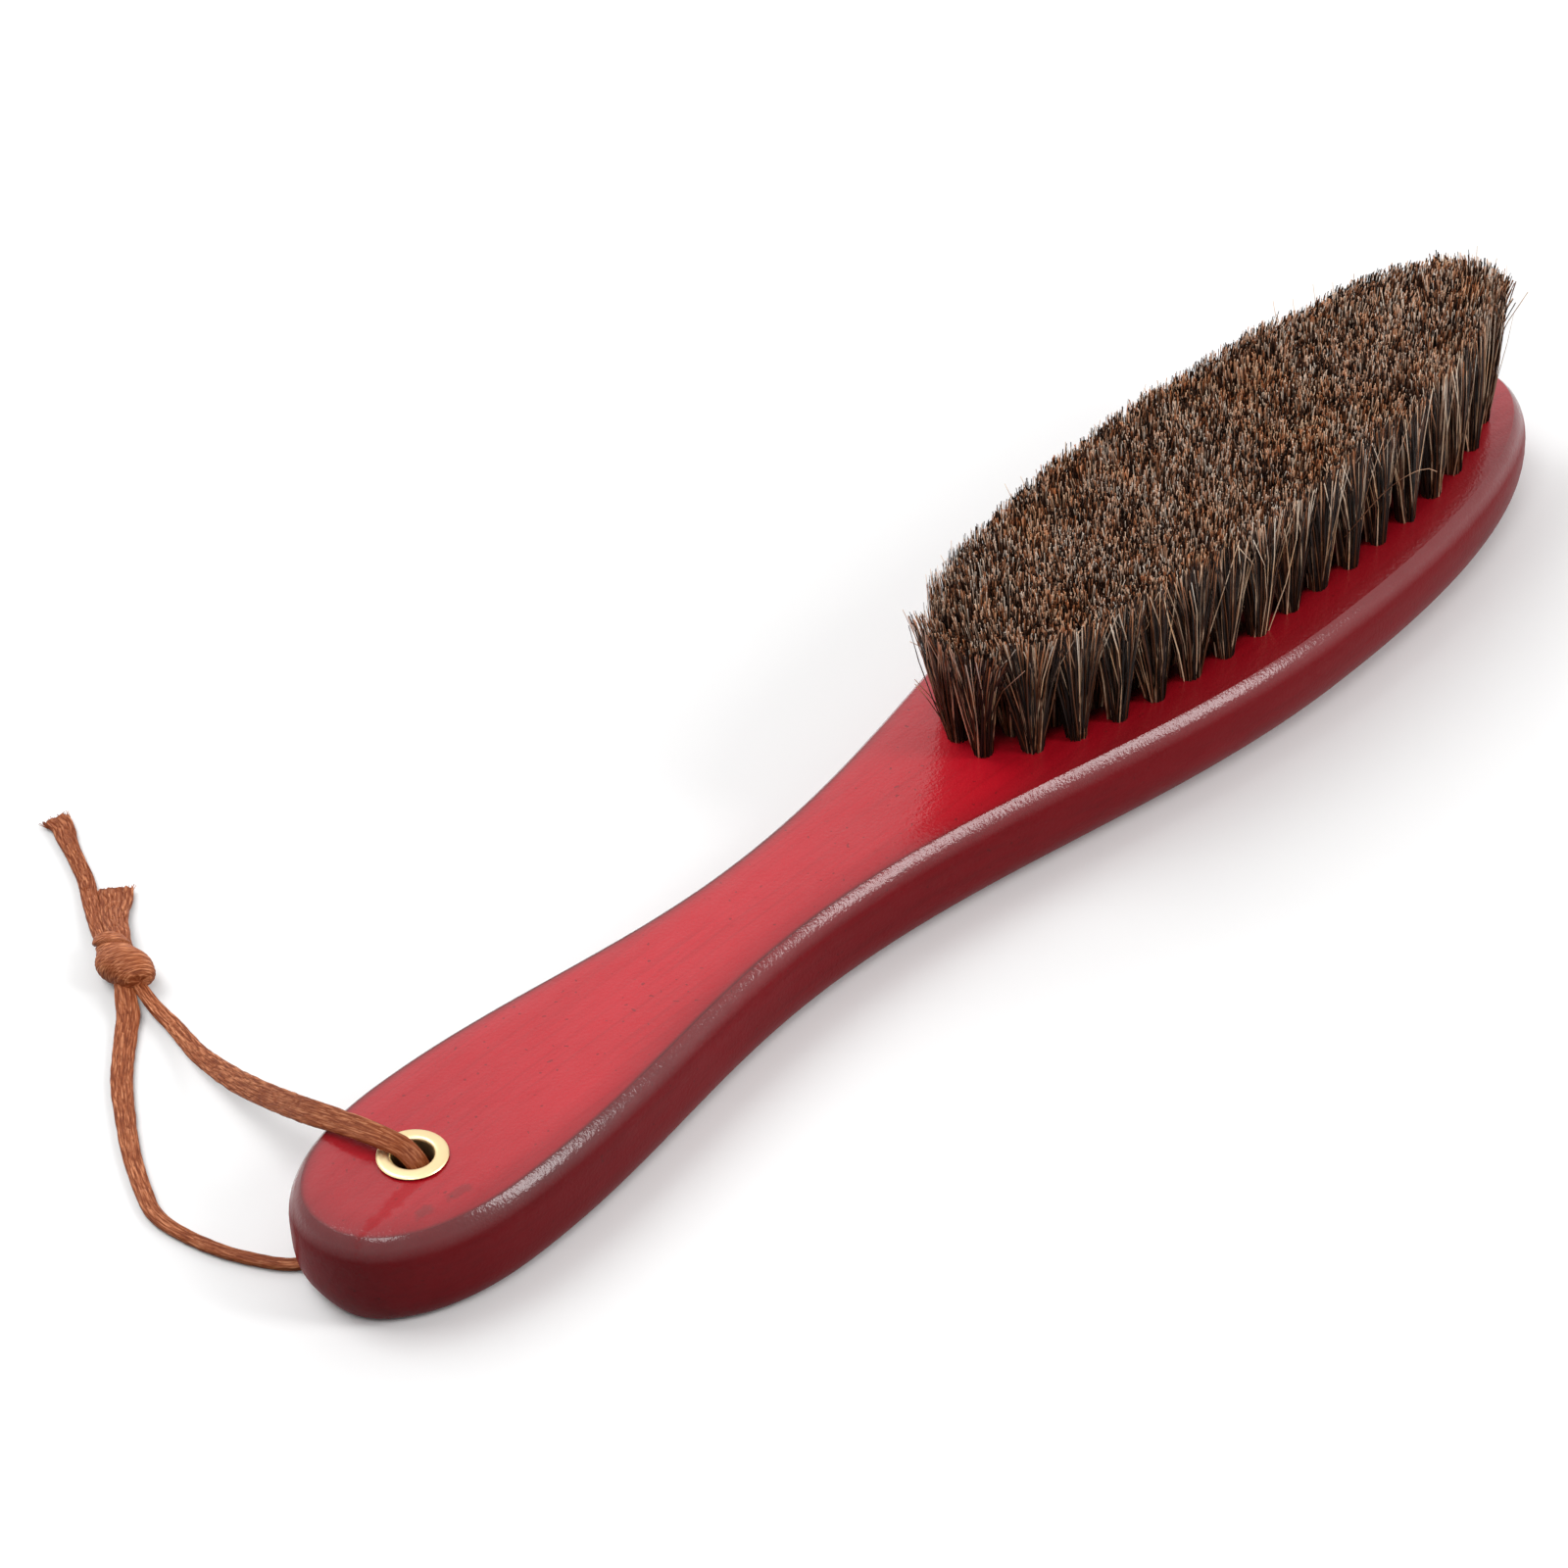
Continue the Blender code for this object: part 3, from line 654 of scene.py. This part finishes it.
def skin(bm, rings):
    """Closes rings of corners into a tube with capped ends."""
    for first, second in zip(rings, rings[1:]):
        for side, corner in enumerate(first):
            after = (side + 1) % len(first)
            bm.faces.new((corner, first[after], second[after], second[side]))
    bm.faces.new(rings[0][::-1])
    bm.faces.new(rings[-1])


def plait(across, run, seed):
    """How far a point of the braid stands proud, 0 to 1, where slanting strands cross each other."""
    drift = 0.55 * noise.noise(Vector((run * 260, across * 3, seed * 5.1)))
    first = across * PLAIT_LANES + run / PLAIT_PITCH + drift
    second = -across * PLAIT_LANES + run / PLAIT_PITCH - drift
    upper = first if (math.floor(first) + math.floor(second)) % 2 else second
    return abs(math.sin(math.pi * upper)) ** 0.7


def braid(bm, line, facings, widths, thickness, sides=56, seed=0, painted_shade=None, pleats=0.0):
    """A flat braid swept along a line, with proud strands, and pleats that deepen to a ragged end."""
    groove_layer, place_layer = braid_layers(bm)
    rings = []
    run = 0.0
    for i, point in enumerate(line):
        share = i / (len(line) - 1)
        pleated = pleats * (0.55 + 0.45 * ease(share))
        shaded = painted_shade[i] if painted_shade else 0.0
        along = (line[min(i + 1, len(line) - 1)] - line[max(i - 1, 0)]).normalized()
        up = (facings[i] - facings[i].dot(along) * along).normalized()
        across = along.cross(up)
        run += (point - line[i - 1]).length if i else 0
        ring = []
        for side in range(sides):
            angle = 2 * math.pi * side / sides
            c, s = math.cos(angle), math.sin(angle)
            x = math.copysign(abs(c) ** 0.6, c)
            z = math.copysign(abs(s) ** 0.75, s)
            proud = plait(x / 2 if z > 0 else -x / 2, run + (0 if z > 0 else PLAIT_PITCH / 2), seed)
            edge = 1 - abs(x) ** 8
            wander = noise.noise(Vector((run * 190, x, seed * 2.3)))
            fold = abs(math.sin(math.pi * (x * 2.6 + 1.1 * wander))) ** 0.5
            proud *= 1 - pleated * (1 - fold)
            ragged = pleats * 0.0009 * max(0, share - 0.93) / 0.07 * noise.noise(Vector((x * 4, z, seed)))
            uneven = noise.noise(Vector((run * 420, math.copysign(1, c), seed * 3.1)))
            x *= 1 + 0.06 * uneven - 0.03 * (1 - proud)
            z *= 1 - (0.26 + 0.30 * pleated) * (1 - proud) * edge
            place = point + across * (x * widths[i] / 2) + up * (z * thickness / 2)
            vert = bm.verts.new(place + along * ragged)
            # Painted shade: the groove value is high between proud strands and in the pleats, and raised
            # along stretches of the loop that lie in shade.
            vert[groove_layer] = 1 - proud * (1 - shaded)
            vert[place_layer] = (x * widths[i] / 2, z * thickness / 2 + seed * 0.01, run)
            ring.append(vert)
        rings.append(ring)
    skin(bm, rings)


def fray(bm, end, along, across, up, width, count, length, seed):
    """Loose fibres that stand out of a cut end."""
    groove_layer, place_layer = braid_layers(bm)
    dice = random.Random(seed)
    for _ in range(count):
        offset = dice.uniform(-0.5, 0.5)
        root = end + across * (offset * width) + up * dice.uniform(-0.3, 0.3) * CORD_THICKNESS
        root -= along * FIBRE_HELD
        reach = length * dice.uniform(0.35, 1.0) + FIBRE_HELD
        spread = across * (offset * dice.uniform(0.2, 0.9) + dice.uniform(-0.12, 0.12))
        spread += up * dice.uniform(-0.08, 0.12)
        bow = across * dice.uniform(-0.12, 0.12) + up * dice.uniform(-0.05, 0.08)
        thick = dice.uniform(0.00005, 0.00011)
        rings = []
        for level in range(4):
            t = level / 3
            centre = root + reach * (along * t + spread * t + bow * t * t)
            centre.z = max(centre.z, FIBRE_LOWEST)
            ring = []
            for side in range(3):
                angle = 2 * math.pi * side / 3
                vert = bm.verts.new(
                    centre + (across * math.cos(angle) + up * math.sin(angle)) * thick * (1 - 0.35 * t)
                )
                vert[groove_layer] = 0.1 + 0.25 * dice.random()
                vert[place_layer] = (offset * width, seed * 0.02, t * reach)
                ring.append(vert)
            rings.append(ring)
        skin(bm, rings)


def make_loop(finish):
    route = smooth_route(LOOP_ROUTE, 0.0004)
    line = [point for point, _ in route]
    facings = [value_at(LOOP_FACING, where) for _, where in route]
    widths = [value_at(LOOP_WIDTH, where) * MM for _, where in route]
    bm = bmesh.new()
    # Painted shade along the loop, from its table.
    painted_shade = [value_at(LOOP_PAINTED_SHADE, where) for _, where in route]
    braid(bm, line, facings, widths, CORD_THICKNESS, seed=1, painted_shade=painted_shade)
    piece = new_piece("hanging_loop", bm, finish, "waxed_cord", "cord_loop")
    smooth(piece.data, 60)
    return piece, line, sum(math.dist(a, b) for a, b in zip(line, line[1:]))


def tail(name, route, node, finish, first_width, last_width, seed, flare, thickness=CORD_THICKNESS):
    """A free end of the braid, pleated and opening out past the flare, with loose fibres where it is cut."""
    line = [point for point, _ in smooth_route(route, 0.0003)]
    last = len(line) - 1
    widths = [mix(first_width, last_width, max(0, i / last - flare) / (1 - flare)) for i in range(last + 1)]
    up = Vector((0, 0, 1))
    bm = bmesh.new()
    braid(bm, line, [up] * len(line), widths, thickness, 80, seed, pleats=1.0)
    along = (line[-1] - line[-3]).normalized()
    fray(bm, line[-1], along, along.cross(up).normalized(), up, last_width, 40, 0.0006, seed)
    piece = new_piece(name, bm, finish, "waxed_cord", node)
    smooth(piece.data, 60)
    return piece, line, sum(math.dist(a, b) for a, b in zip(line, line[1:]))


def make_knot(finish):
    """The knot drawn tight: the braid lies crosswise round its strands, with a collar at the tails."""
    bm = bmesh.new()
    groove_layer, place_layer = braid_layers(bm)
    verts = bmesh.ops.create_uvsphere(bm, u_segments=120, v_segments=130, radius=1)["verts"]
    for vert in verts:
        turn = math.atan2(vert.co.y, vert.co.x)
        along, left = vert.co.z, math.cos(turn)
        round_off = math.sqrt(max(0, 1 - vert.co.z**2)) ** 0.44
        slant = along - 0.15 * left + 0.20 * math.sin(turn)
        slant += 0.05 * noise.noise(Vector((turn * 1.1, along * 2, 4)))
        lane = slant * KNOT_LANES + 0.7 * noise.noise(Vector((left * 1.8, math.sin(turn) * 1.8, along * 5)))
        crown = abs(math.sin(math.pi * lane)) ** 0.35
        high = ease((along + 0.55) / 0.9)
        collar = ease((slant - 0.56) / 0.05) * ease((1.08 - slant) / 0.08)
        fold = ease((0.58 - slant) / 0.05) * ease((slant - 0.47) / 0.07)
        girth = 1 - 0.30 * ease((along + 0.35) / 0.95) + 0.10 * collar - 0.05 * fold - 0.05 * (1 - crown)
        girth *= 1 - 0.15 * high * (1 - left) / 2
        girth *= 1 - 0.28 * ease((-along - 0.30) / 0.75) * (1 + left) / 2
        girth *= 1 + 0.05 * noise.noise(Vector((left * 1.4, math.sin(turn) * 1.4, along * 2 + 9)))
        shift = 0.0004 + (0.0008 if along > 0 else 0.0014) * along
        place = Vector((
            along * KNOT_HALF[0],
            left * round_off * girth * KNOT_HALF[1] + shift,
            math.sin(turn) * round_off * girth * KNOT_HALF[2],
        ))
        vert.co = KNOT + KNOT_ALONG * place.x + KNOT_ACROSS * place.y + Vector((0, 0, 1)) * place.z
        # Painted shade in the lanes between the crosswise strands and in the fold below the collar.
        vert[groove_layer] = max((1 - crown) * 0.9, fold * 0.7)
        vert[place_layer] = (along * KNOT_HALF[0], 0.05 * collar, turn * KNOT_HALF[1])
    piece = new_piece("tight_knot", bm, finish, "waxed_cord", "cord_knot")
    smooth(piece.data, 60)
    return piece


def make_cord():
    finish = waxed_braid()
    knot = make_knot(finish)
    loop, line, length = make_loop(finish)
    long_tail, long_line, long_length = tail(
        "long_tail", LONG_TAIL_ROUTE, "cord_long_tail", finish, 0.0026, 0.0041, 2, 0.75
    )
    short_tail, _, _ = tail(
        "short_tail", SHORT_TAIL_ROUTE, "cord_short_tail", finish, 0.0029, 0.0054, 3, 0.1, 0.0014
    )


# Board and eyelet


def board_outline(steps):
    """The upper edge of the board's +Y side, handle tip to toe, as points with outward normals."""
    points = []
    for step in range(steps):
        along, across = rounded_quarter(HANDLE_END, HANDLE_HALF, HANDLE_ROUNDNESS, math.pi / 2 * step / steps)
        points.append(Vector((HANDLE_X - along, across)))
    for step in range(steps):
        half = mix(HANDLE_HALF, NECK_HALF, ease(step / steps))
        points.append(Vector((HANDLE_X + HANDLE_TAPER * step / steps, half)))
    for step in range(steps):
        half = mix(NECK_HALF, HEAD_HALF, ease(step / steps))
        points.append(Vector((NECK_X + HEAD_TAPER * step / steps, half)))
    for step in range(steps, -1, -1):
        along, across = rounded_quarter(TOE, HEAD_HALF, TOE_ROUNDNESS, math.pi / 2 * step / steps)
        points.append(Vector((HEAD_X + along, across)))
    normals = [Vector((-1, 0))]
    for before, after in zip(points, points[2:]):
        run = after - before
        normals.append(Vector((-run.y, run.x)).normalized())
    return points, normals + [Vector((1, 0))]


def board_side(x, y):
    """(outset, height) down the side of the board, from inside the face's crowned rim to the back."""
    share = ease((x - HANDLE_X) / (HEAD_X - HANDLE_X))
    run = mix(HANDLE_CURVE_RUN, HEAD_CURVE_RUN, share)
    roundness = mix(HANDLE_BACK_ROUNDNESS, HEAD_BACK_ROUNDNESS, share)
    back = HANDLE_LIFT * ease((NECK_X - x) / HANDLE_TAPER) * ease((y + 0.006) / 0.010)
    bulge = FACE - BULGE_DEPTH
    edge = FACE - CROWN_DROP
    side = [
        (-CROWN_RUN * inward, FACE - CROWN_DROP * (1 - inward) ** 2)
        for inward in ((1 - step / CROWN_STEPS) ** 1.2 for step in range(CROWN_STEPS + 1))
    ]
    for step in range(1, SIDE_STEPS + 1):
        angle = mix(EDGE_ANGLE, math.pi / 2, (step / SIDE_STEPS) ** 1.3)
        outset = SIDE_BULGE * (math.sin(angle) - math.sin(EDGE_ANGLE)) / (1 - math.sin(EDGE_ANGLE))
        side.append((outset, edge - (edge - bulge) * (1 - math.cos(angle) / math.cos(EDGE_ANGLE))))
    for step in range(1, SIDE_STEPS + 1):
        inward, downward = rounded_quarter(run, 1, roundness, math.pi / 2 * step / SIDE_STEPS)
        side.append((SIDE_BULGE - run + inward, bulge - (bulge - back) * downward))
    return side


def painted_shade_depth(level, x, outward):
    """Painted shade, deeper down the sides, most at the handle, and towards the near edge of the face, with a
    thin painted dark line along the crease at the handle and neck.
    """
    if level > CROWN_STEPS:
        handle = mix(0.93, 0.70, ease((level - 9) / 14))
        head = mix(0.68, 0.85, ease((x - HEAD_X) / TOE))
        return mix(handle, head, ease((x - HANDLE_X) / (NECK_X - HANDLE_X)))
    near = ease(0.5 + outward.dot(NEAR))
    line = 1 - 0.85 * ease((x - NECK_X) / HEAD_TAPER * 1.3)
    return max(0.5 * near * (level / CROWN_STEPS) ** 1.3, line * (level / CROWN_STEPS) ** 5)


def make_board(finish):
    half, normals = board_outline(OUTLINE_STEPS)
    count = 2 * (len(half) - 1)
    plan = [(p, n, 1) for p, n in zip(half, normals)]
    plan += [(p, n, -1) for p, n in zip(half[-2:0:-1], normals[-2:0:-1])]
    sides = [board_side(p.x, mirror * p.y) for p, _, mirror in plan]
    bm = bmesh.new()
    # How deep the painted shade lies at each corner, for the lacquer's colour.
    station = bm.verts.layers.int.new("station")
    stain_and_shade = bm.verts.layers.float.new("painted_shade_depth")

    def settle(verts, level):
        for vert in verts:
            (point, normal, mirror), side = plan[vert[station]], sides[vert[station]]
            outset, height = side[level]
            vert.co = (point.x + outset * normal.x, mirror * (point.y + outset * normal.y), height)
            vert[stain_and_shade] = painted_shade_depth(level, point.x, Vector((normal.x, mirror * normal.y)))

    rim = bmesh.ops.create_circle(bm, cap_ends=True, segments=count, radius=1)["verts"]
    for number, vert in enumerate(rim):
        vert[station] = number
    settle(rim, 0)
    edges = list(bm.edges)
    for level in range(1, len(sides[0])):
        made = bmesh.ops.extrude_edge_only(bm, edges=edges)["geom"]
        settle([item for item in made if isinstance(item, bmesh.types.BMVert)], level)
        edges = [item for item in made if isinstance(item, bmesh.types.BMEdge) and len(item.link_faces) == 1]
    bmesh.ops.holes_fill(bm, edges=edges, sides=0)
    last = {}
    for edge in edges:
        for vert in edge.verts:
            last[vert[station]] = vert
    for number in range(1, len(half) - 1):
        bmesh.ops.connect_verts(bm, verts=[last[number], last[count - number]])
    bmesh.ops.recalc_face_normals(bm, faces=bm.faces)
    board = new_piece("lacquered_board", bm, finish, "lacquered_wood", "wooden_body")
    drill = bmesh.new()
    bmesh.ops.create_cone(
        drill, cap_ends=True, segments=64, radius1=HOLE_RADIUS, radius2=HOLE_RADIUS, depth=0.05,
        matrix=Matrix.Translation((HOLE_X, 0, 0)),
    )
    cut_away(board, drill)
    smooth(board.data, 24)


def cut_away(piece, bm):
    """Takes a shape out of a piece for good."""
    mesh = bpy.data.meshes.new("drill")
    bm.to_mesh(mesh)
    bm.free()
    drill = bpy.data.objects.new("drill", mesh)
    bpy.context.scene.collection.objects.link(drill)
    step = piece.modifiers.new("hole", "BOOLEAN")
    step.object = drill
    step.solver = "EXACT"
    bpy.context.view_layer.update()
    cut = bpy.data.meshes.new_from_object(piece.evaluated_get(bpy.context.evaluated_depsgraph_get()))
    piece.modifiers.clear()
    old, piece.data = piece.data, cut
    bpy.data.meshes.remove(old)
    bpy.data.objects.remove(drill)
    cut.name = piece.name


def make_eyelet(finish):
    """The brass eyelet: a domed flange that rolls over into the hole."""
    seat = FACE + EYELET_SEAT
    profile = [(BARREL_RADIUS, -BARREL_DEPTH), (BARREL_RADIUS, 0.0), *FLANGE_TOP]
    for step in range(9):
        angle = math.pi / 2 * (1 + step / 8)
        out, up = LIP_RADIUS * math.cos(angle), LIP_RADIUS * math.sin(angle)
        profile.append((LIP_MIDDLE[0] + out, LIP_MIDDLE[1] + up))
    profile.append((EYELET_HOLE, -BARREL_DEPTH))
    bm = bmesh.new()
    verts = [bm.verts.new((HOLE_X + radius, 0, seat + height)) for radius, height in profile]
    edges = [bm.edges.new(pair) for pair in zip(verts, verts[1:] + verts[:1])]
    bmesh.ops.spin(
        bm, geom=verts + edges, cent=(HOLE_X, 0, 0), axis=(0, 0, 1), dvec=(0, 0, 0),
        angle=2 * math.pi, steps=72, use_merge=True, use_duplicate=False,
    )
    bmesh.ops.remove_doubles(bm, verts=bm.verts, dist=0.000005)
    bmesh.ops.recalc_face_normals(bm, faces=bm.faces)
    piece = new_piece("brass_eyelet", bm, finish, "polished_brass", "top_eyelet")
    smooth(piece.data, 40)


# Hair


def ring_line(ring, steps=240):
    """Half of the line that a ring of tufts stands on, from the heel to the toe."""
    heel = HEEL_REACH - ring * RING_STEP[0]
    toe = TOE_REACH - ring * RING_STEP[0]
    half = TUFT_HALF - ring * RING_STEP[1]
    roundness = HEEL_ROUNDNESS + HEEL_ROUNDNESS_STEP * ring
    points = []
    for step in range(steps):
        along, across = rounded_quarter(heel, half, roundness, math.pi / 2 * step / steps)
        points.append((HEAD_X - along, across))
    for step in range(steps, -1, -1):
        along, across = rounded_quarter(toe, half, TOE_HAIR_ROUNDNESS, math.pi / 2 * step / steps)
        points.append((HEAD_X + along, across))
    return points


def outward(x, y):
    """The direction out of the hair at a tuft of its outer row."""
    along = (x - HEAD_X) / TOE_REACH
    across = y / TUFT_HALF
    return Vector((along * abs(along) / TOE_REACH, across * abs(across) / TUFT_HALF)).normalized()


def lean(x, y):
    """How far a tuft leans over its length, outward at the heel and toe, and inward beside the toe."""
    along = x - HEAD_X
    if along < 0:
        share = -along / HEEL_REACH
        return -0.0032 * share**8, 0.12 * share**3 * max(y, 0)
    share = along / TOE_REACH
    return 0.0046 * share**3, -(0.23 if y > 0 else 0.15) * share * y


def grow(bm, shade, centres, thick, tone, turn):
    """One hair through the centres, as a three-sided stalk that thins to its tip."""
    made = bmesh.ops.create_circle(bm, segments=3, radius=thick)["verts"]
    bmesh.ops.rotate(bm, verts=made, matrix=Matrix.Rotation(turn, 3, "Z"))
    flat = [vert.co.copy() for vert in made]
    edges = list({edge for vert in made for edge in vert.link_edges})
    rings = [made]
    for _ in centres[1:]:
        out = bmesh.ops.extrude_edge_only(bm, edges=edges)["geom"]
        rings.append([item for item in out if isinstance(item, bmesh.types.BMVert)])
        edges = [item for item in out if isinstance(item, bmesh.types.BMEdge) and len(item.link_faces) == 1]
    bmesh.ops.contextual_create(bm, geom=edges)
    for number, (verts, centre) in enumerate(zip(rings, centres)):
        level = number / (len(centres) - 1)
        for vert in verts:
            start = min(flat, key=lambda spot: (spot.xy - vert.co.xy).length)
            vert.co = centre + start * (1.1 - 0.3 * level)
            vert[shade] = (tone, level, 0)


def tuft_pattern(seed):
    """One tuft standing on the origin: hairs rise from a round bunch and spread to the trimmed top."""
    dice = random.Random(seed)
    bm = bmesh.new()
    shade = bm.verts.layers.float_vector.new("hair_shade")
    for _ in range(HAIRS_IN_TUFT):
        reach, turn = math.sqrt(dice.random()), dice.uniform(0, 2 * math.pi)
        root = Vector((math.cos(turn), math.sin(turn), 0)) * reach * TUFT_RADIUS
        straggling = dice.random() < STRAGGLING_SHARE
        wander = 0.0021 if straggling else 0.0007
        tip = Vector((math.cos(turn), math.sin(turn), 0)) * (reach * TUFT_SPREAD + abs(dice.gauss(0, 0.0005)))
        tip += Vector([max(-WANDER_LIMIT, min(WANDER_LIMIT, dice.gauss(0, wander))) for _ in range(2)] + [0])
        sway = 0.0007 if straggling else 0.0004
        bow = Vector((dice.gauss(0, sway), dice.gauss(0, sway), 0)) - root * 0.2
        height = HAIR_LENGTH - abs(dice.gauss(0, 0.00055))
        height -= 0.004 * dice.random() if dice.random() < 0.15 else 0
        if dice.random() < 0.03:
            height = HAIR_LENGTH + 0.0009 * dice.random()
        thick = dice.uniform(0.00008, 0.00011) if straggling else dice.uniform(0.00007, 0.00014)
        tone = dice.gauss(STRAGGLING_TONE if straggling else dice.choice(HAIR_TONES), 0.09)
        centres = [root - Vector((0, 0, ROOT_DEPTH))]
        for level in (0.36, 0.7, 1.0):
            rise = Vector((0, 0, height * level))
            centres.append(root.lerp(tip, level**1.25) + bow * 4 * level * (1 - level) + rise)
        grow(bm, shade, centres, thick, tone, dice.uniform(0, 2))
    mesh = bpy.data.meshes.new("tuft_pattern")
    bm.to_mesh(mesh)
    bm.free()
    return mesh


def hold_in(verts, away):
    """Spreads the hair of an edge tuft along its row instead of outward past the trimmed outline."""
    beside = Vector((-away.y, away.x))
    for vert in verts:
        risen = max(0, vert.co.z) / HAIR_LENGTH
        past = vert.co.xy.dot(away)
        vert.co.xy += beside * vert.co.xy.dot(beside) * 0.28 * risen
        vert.co.xy -= away * past * (0.58 if past > 0 else 0.46) * risen


def tuft_row(name, node, places, patterns, finish, seed, at_edge=False, strays=()):
    """One row of tufts, each a turned and leaning copy of a pattern, and its stray hairs."""
    dice = random.Random(seed)
    bm = bmesh.new()
    shade = bm.verts.layers.float_vector.new("hair_shade")
    for stray in strays:
        grow(bm, shade, [point for point, _ in smooth_route(stray, 0.002)], 0.00010, 0.7, 0)
    for x, y in places:
        before = len(bm.verts)
        bm.from_mesh(dice.choice(patterns))
        bm.verts.ensure_lookup_table()
        verts = bm.verts[before:]
        over_x, over_y = lean(x, y)
        slope = Matrix.Identity(4)
        slope[0][2] = over_x / HAIR_LENGTH + dice.gauss(0, LEAN_CHANCE)
        slope[1][2] = over_y / HAIR_LENGTH + dice.gauss(0, LEAN_CHANCE)
        far_toe = ease((x - HEAD_X) / TOE_REACH * 2 - 1) * ease((y + 0.002) / 0.006)
        slope[2][2] = 0.985 - 0.065 * far_toe - abs(dice.gauss(0, LEAN_CHANCE))
        turn = Matrix.Rotation(dice.uniform(0, 2 * math.pi), 4, "Z")
        bmesh.ops.transform(bm, matrix=turn, verts=verts)
        if at_edge:
            hold_in(verts, outward(x, y))
        spot = Matrix.Translation((x + dice.gauss(0, PLACE_CHANCE), y + dice.gauss(0, PLACE_CHANCE), FACE))
        bmesh.ops.transform(bm, matrix=spot @ slope, verts=verts)
    return new_piece(name, bm, finish, "horsehair", node)


def make_hair(finish):
    patterns = [tuft_pattern(seed) for seed in range(TUFT_PATTERNS)]
    for ring, (word, count) in enumerate(TUFT_RINGS):
        line = [point for point in ring_line(ring) if point[1] >= RING_STEP[1] / 2]
        places = spaced_along(line, count)
        for side, mirror in (("left", 1), ("right", -1)):
            tuft_row(
                f"hair_{word}_{side}", f"tufts_{word}_{side}",
                [(p.x, mirror * p.y) for p in places], patterns, finish, 20 + ring * 2 + mirror,
                ring == 0, STRAY_HAIRS if (ring, mirror) == (0, -1) else (),
            )
    heel = HEAD_X - HEEL_REACH + CENTRE_INSET
    toe = HEAD_X + TOE_REACH - CENTRE_INSET
    places = [(p.x, p.y) for p in spaced_along([(heel, 0), (toe, 0)], CENTRE_TUFTS)]
    tuft_row("hair_centre", "tufts_centre", places, patterns, finish, 50)
    for pattern in patterns:
        bpy.data.meshes.remove(pattern)


# The brush

set_camera()
set_studio()
make_cord()
make_board(red_lacquer())
make_eyelet(pale_brass())
make_hair(brown_horsehair())
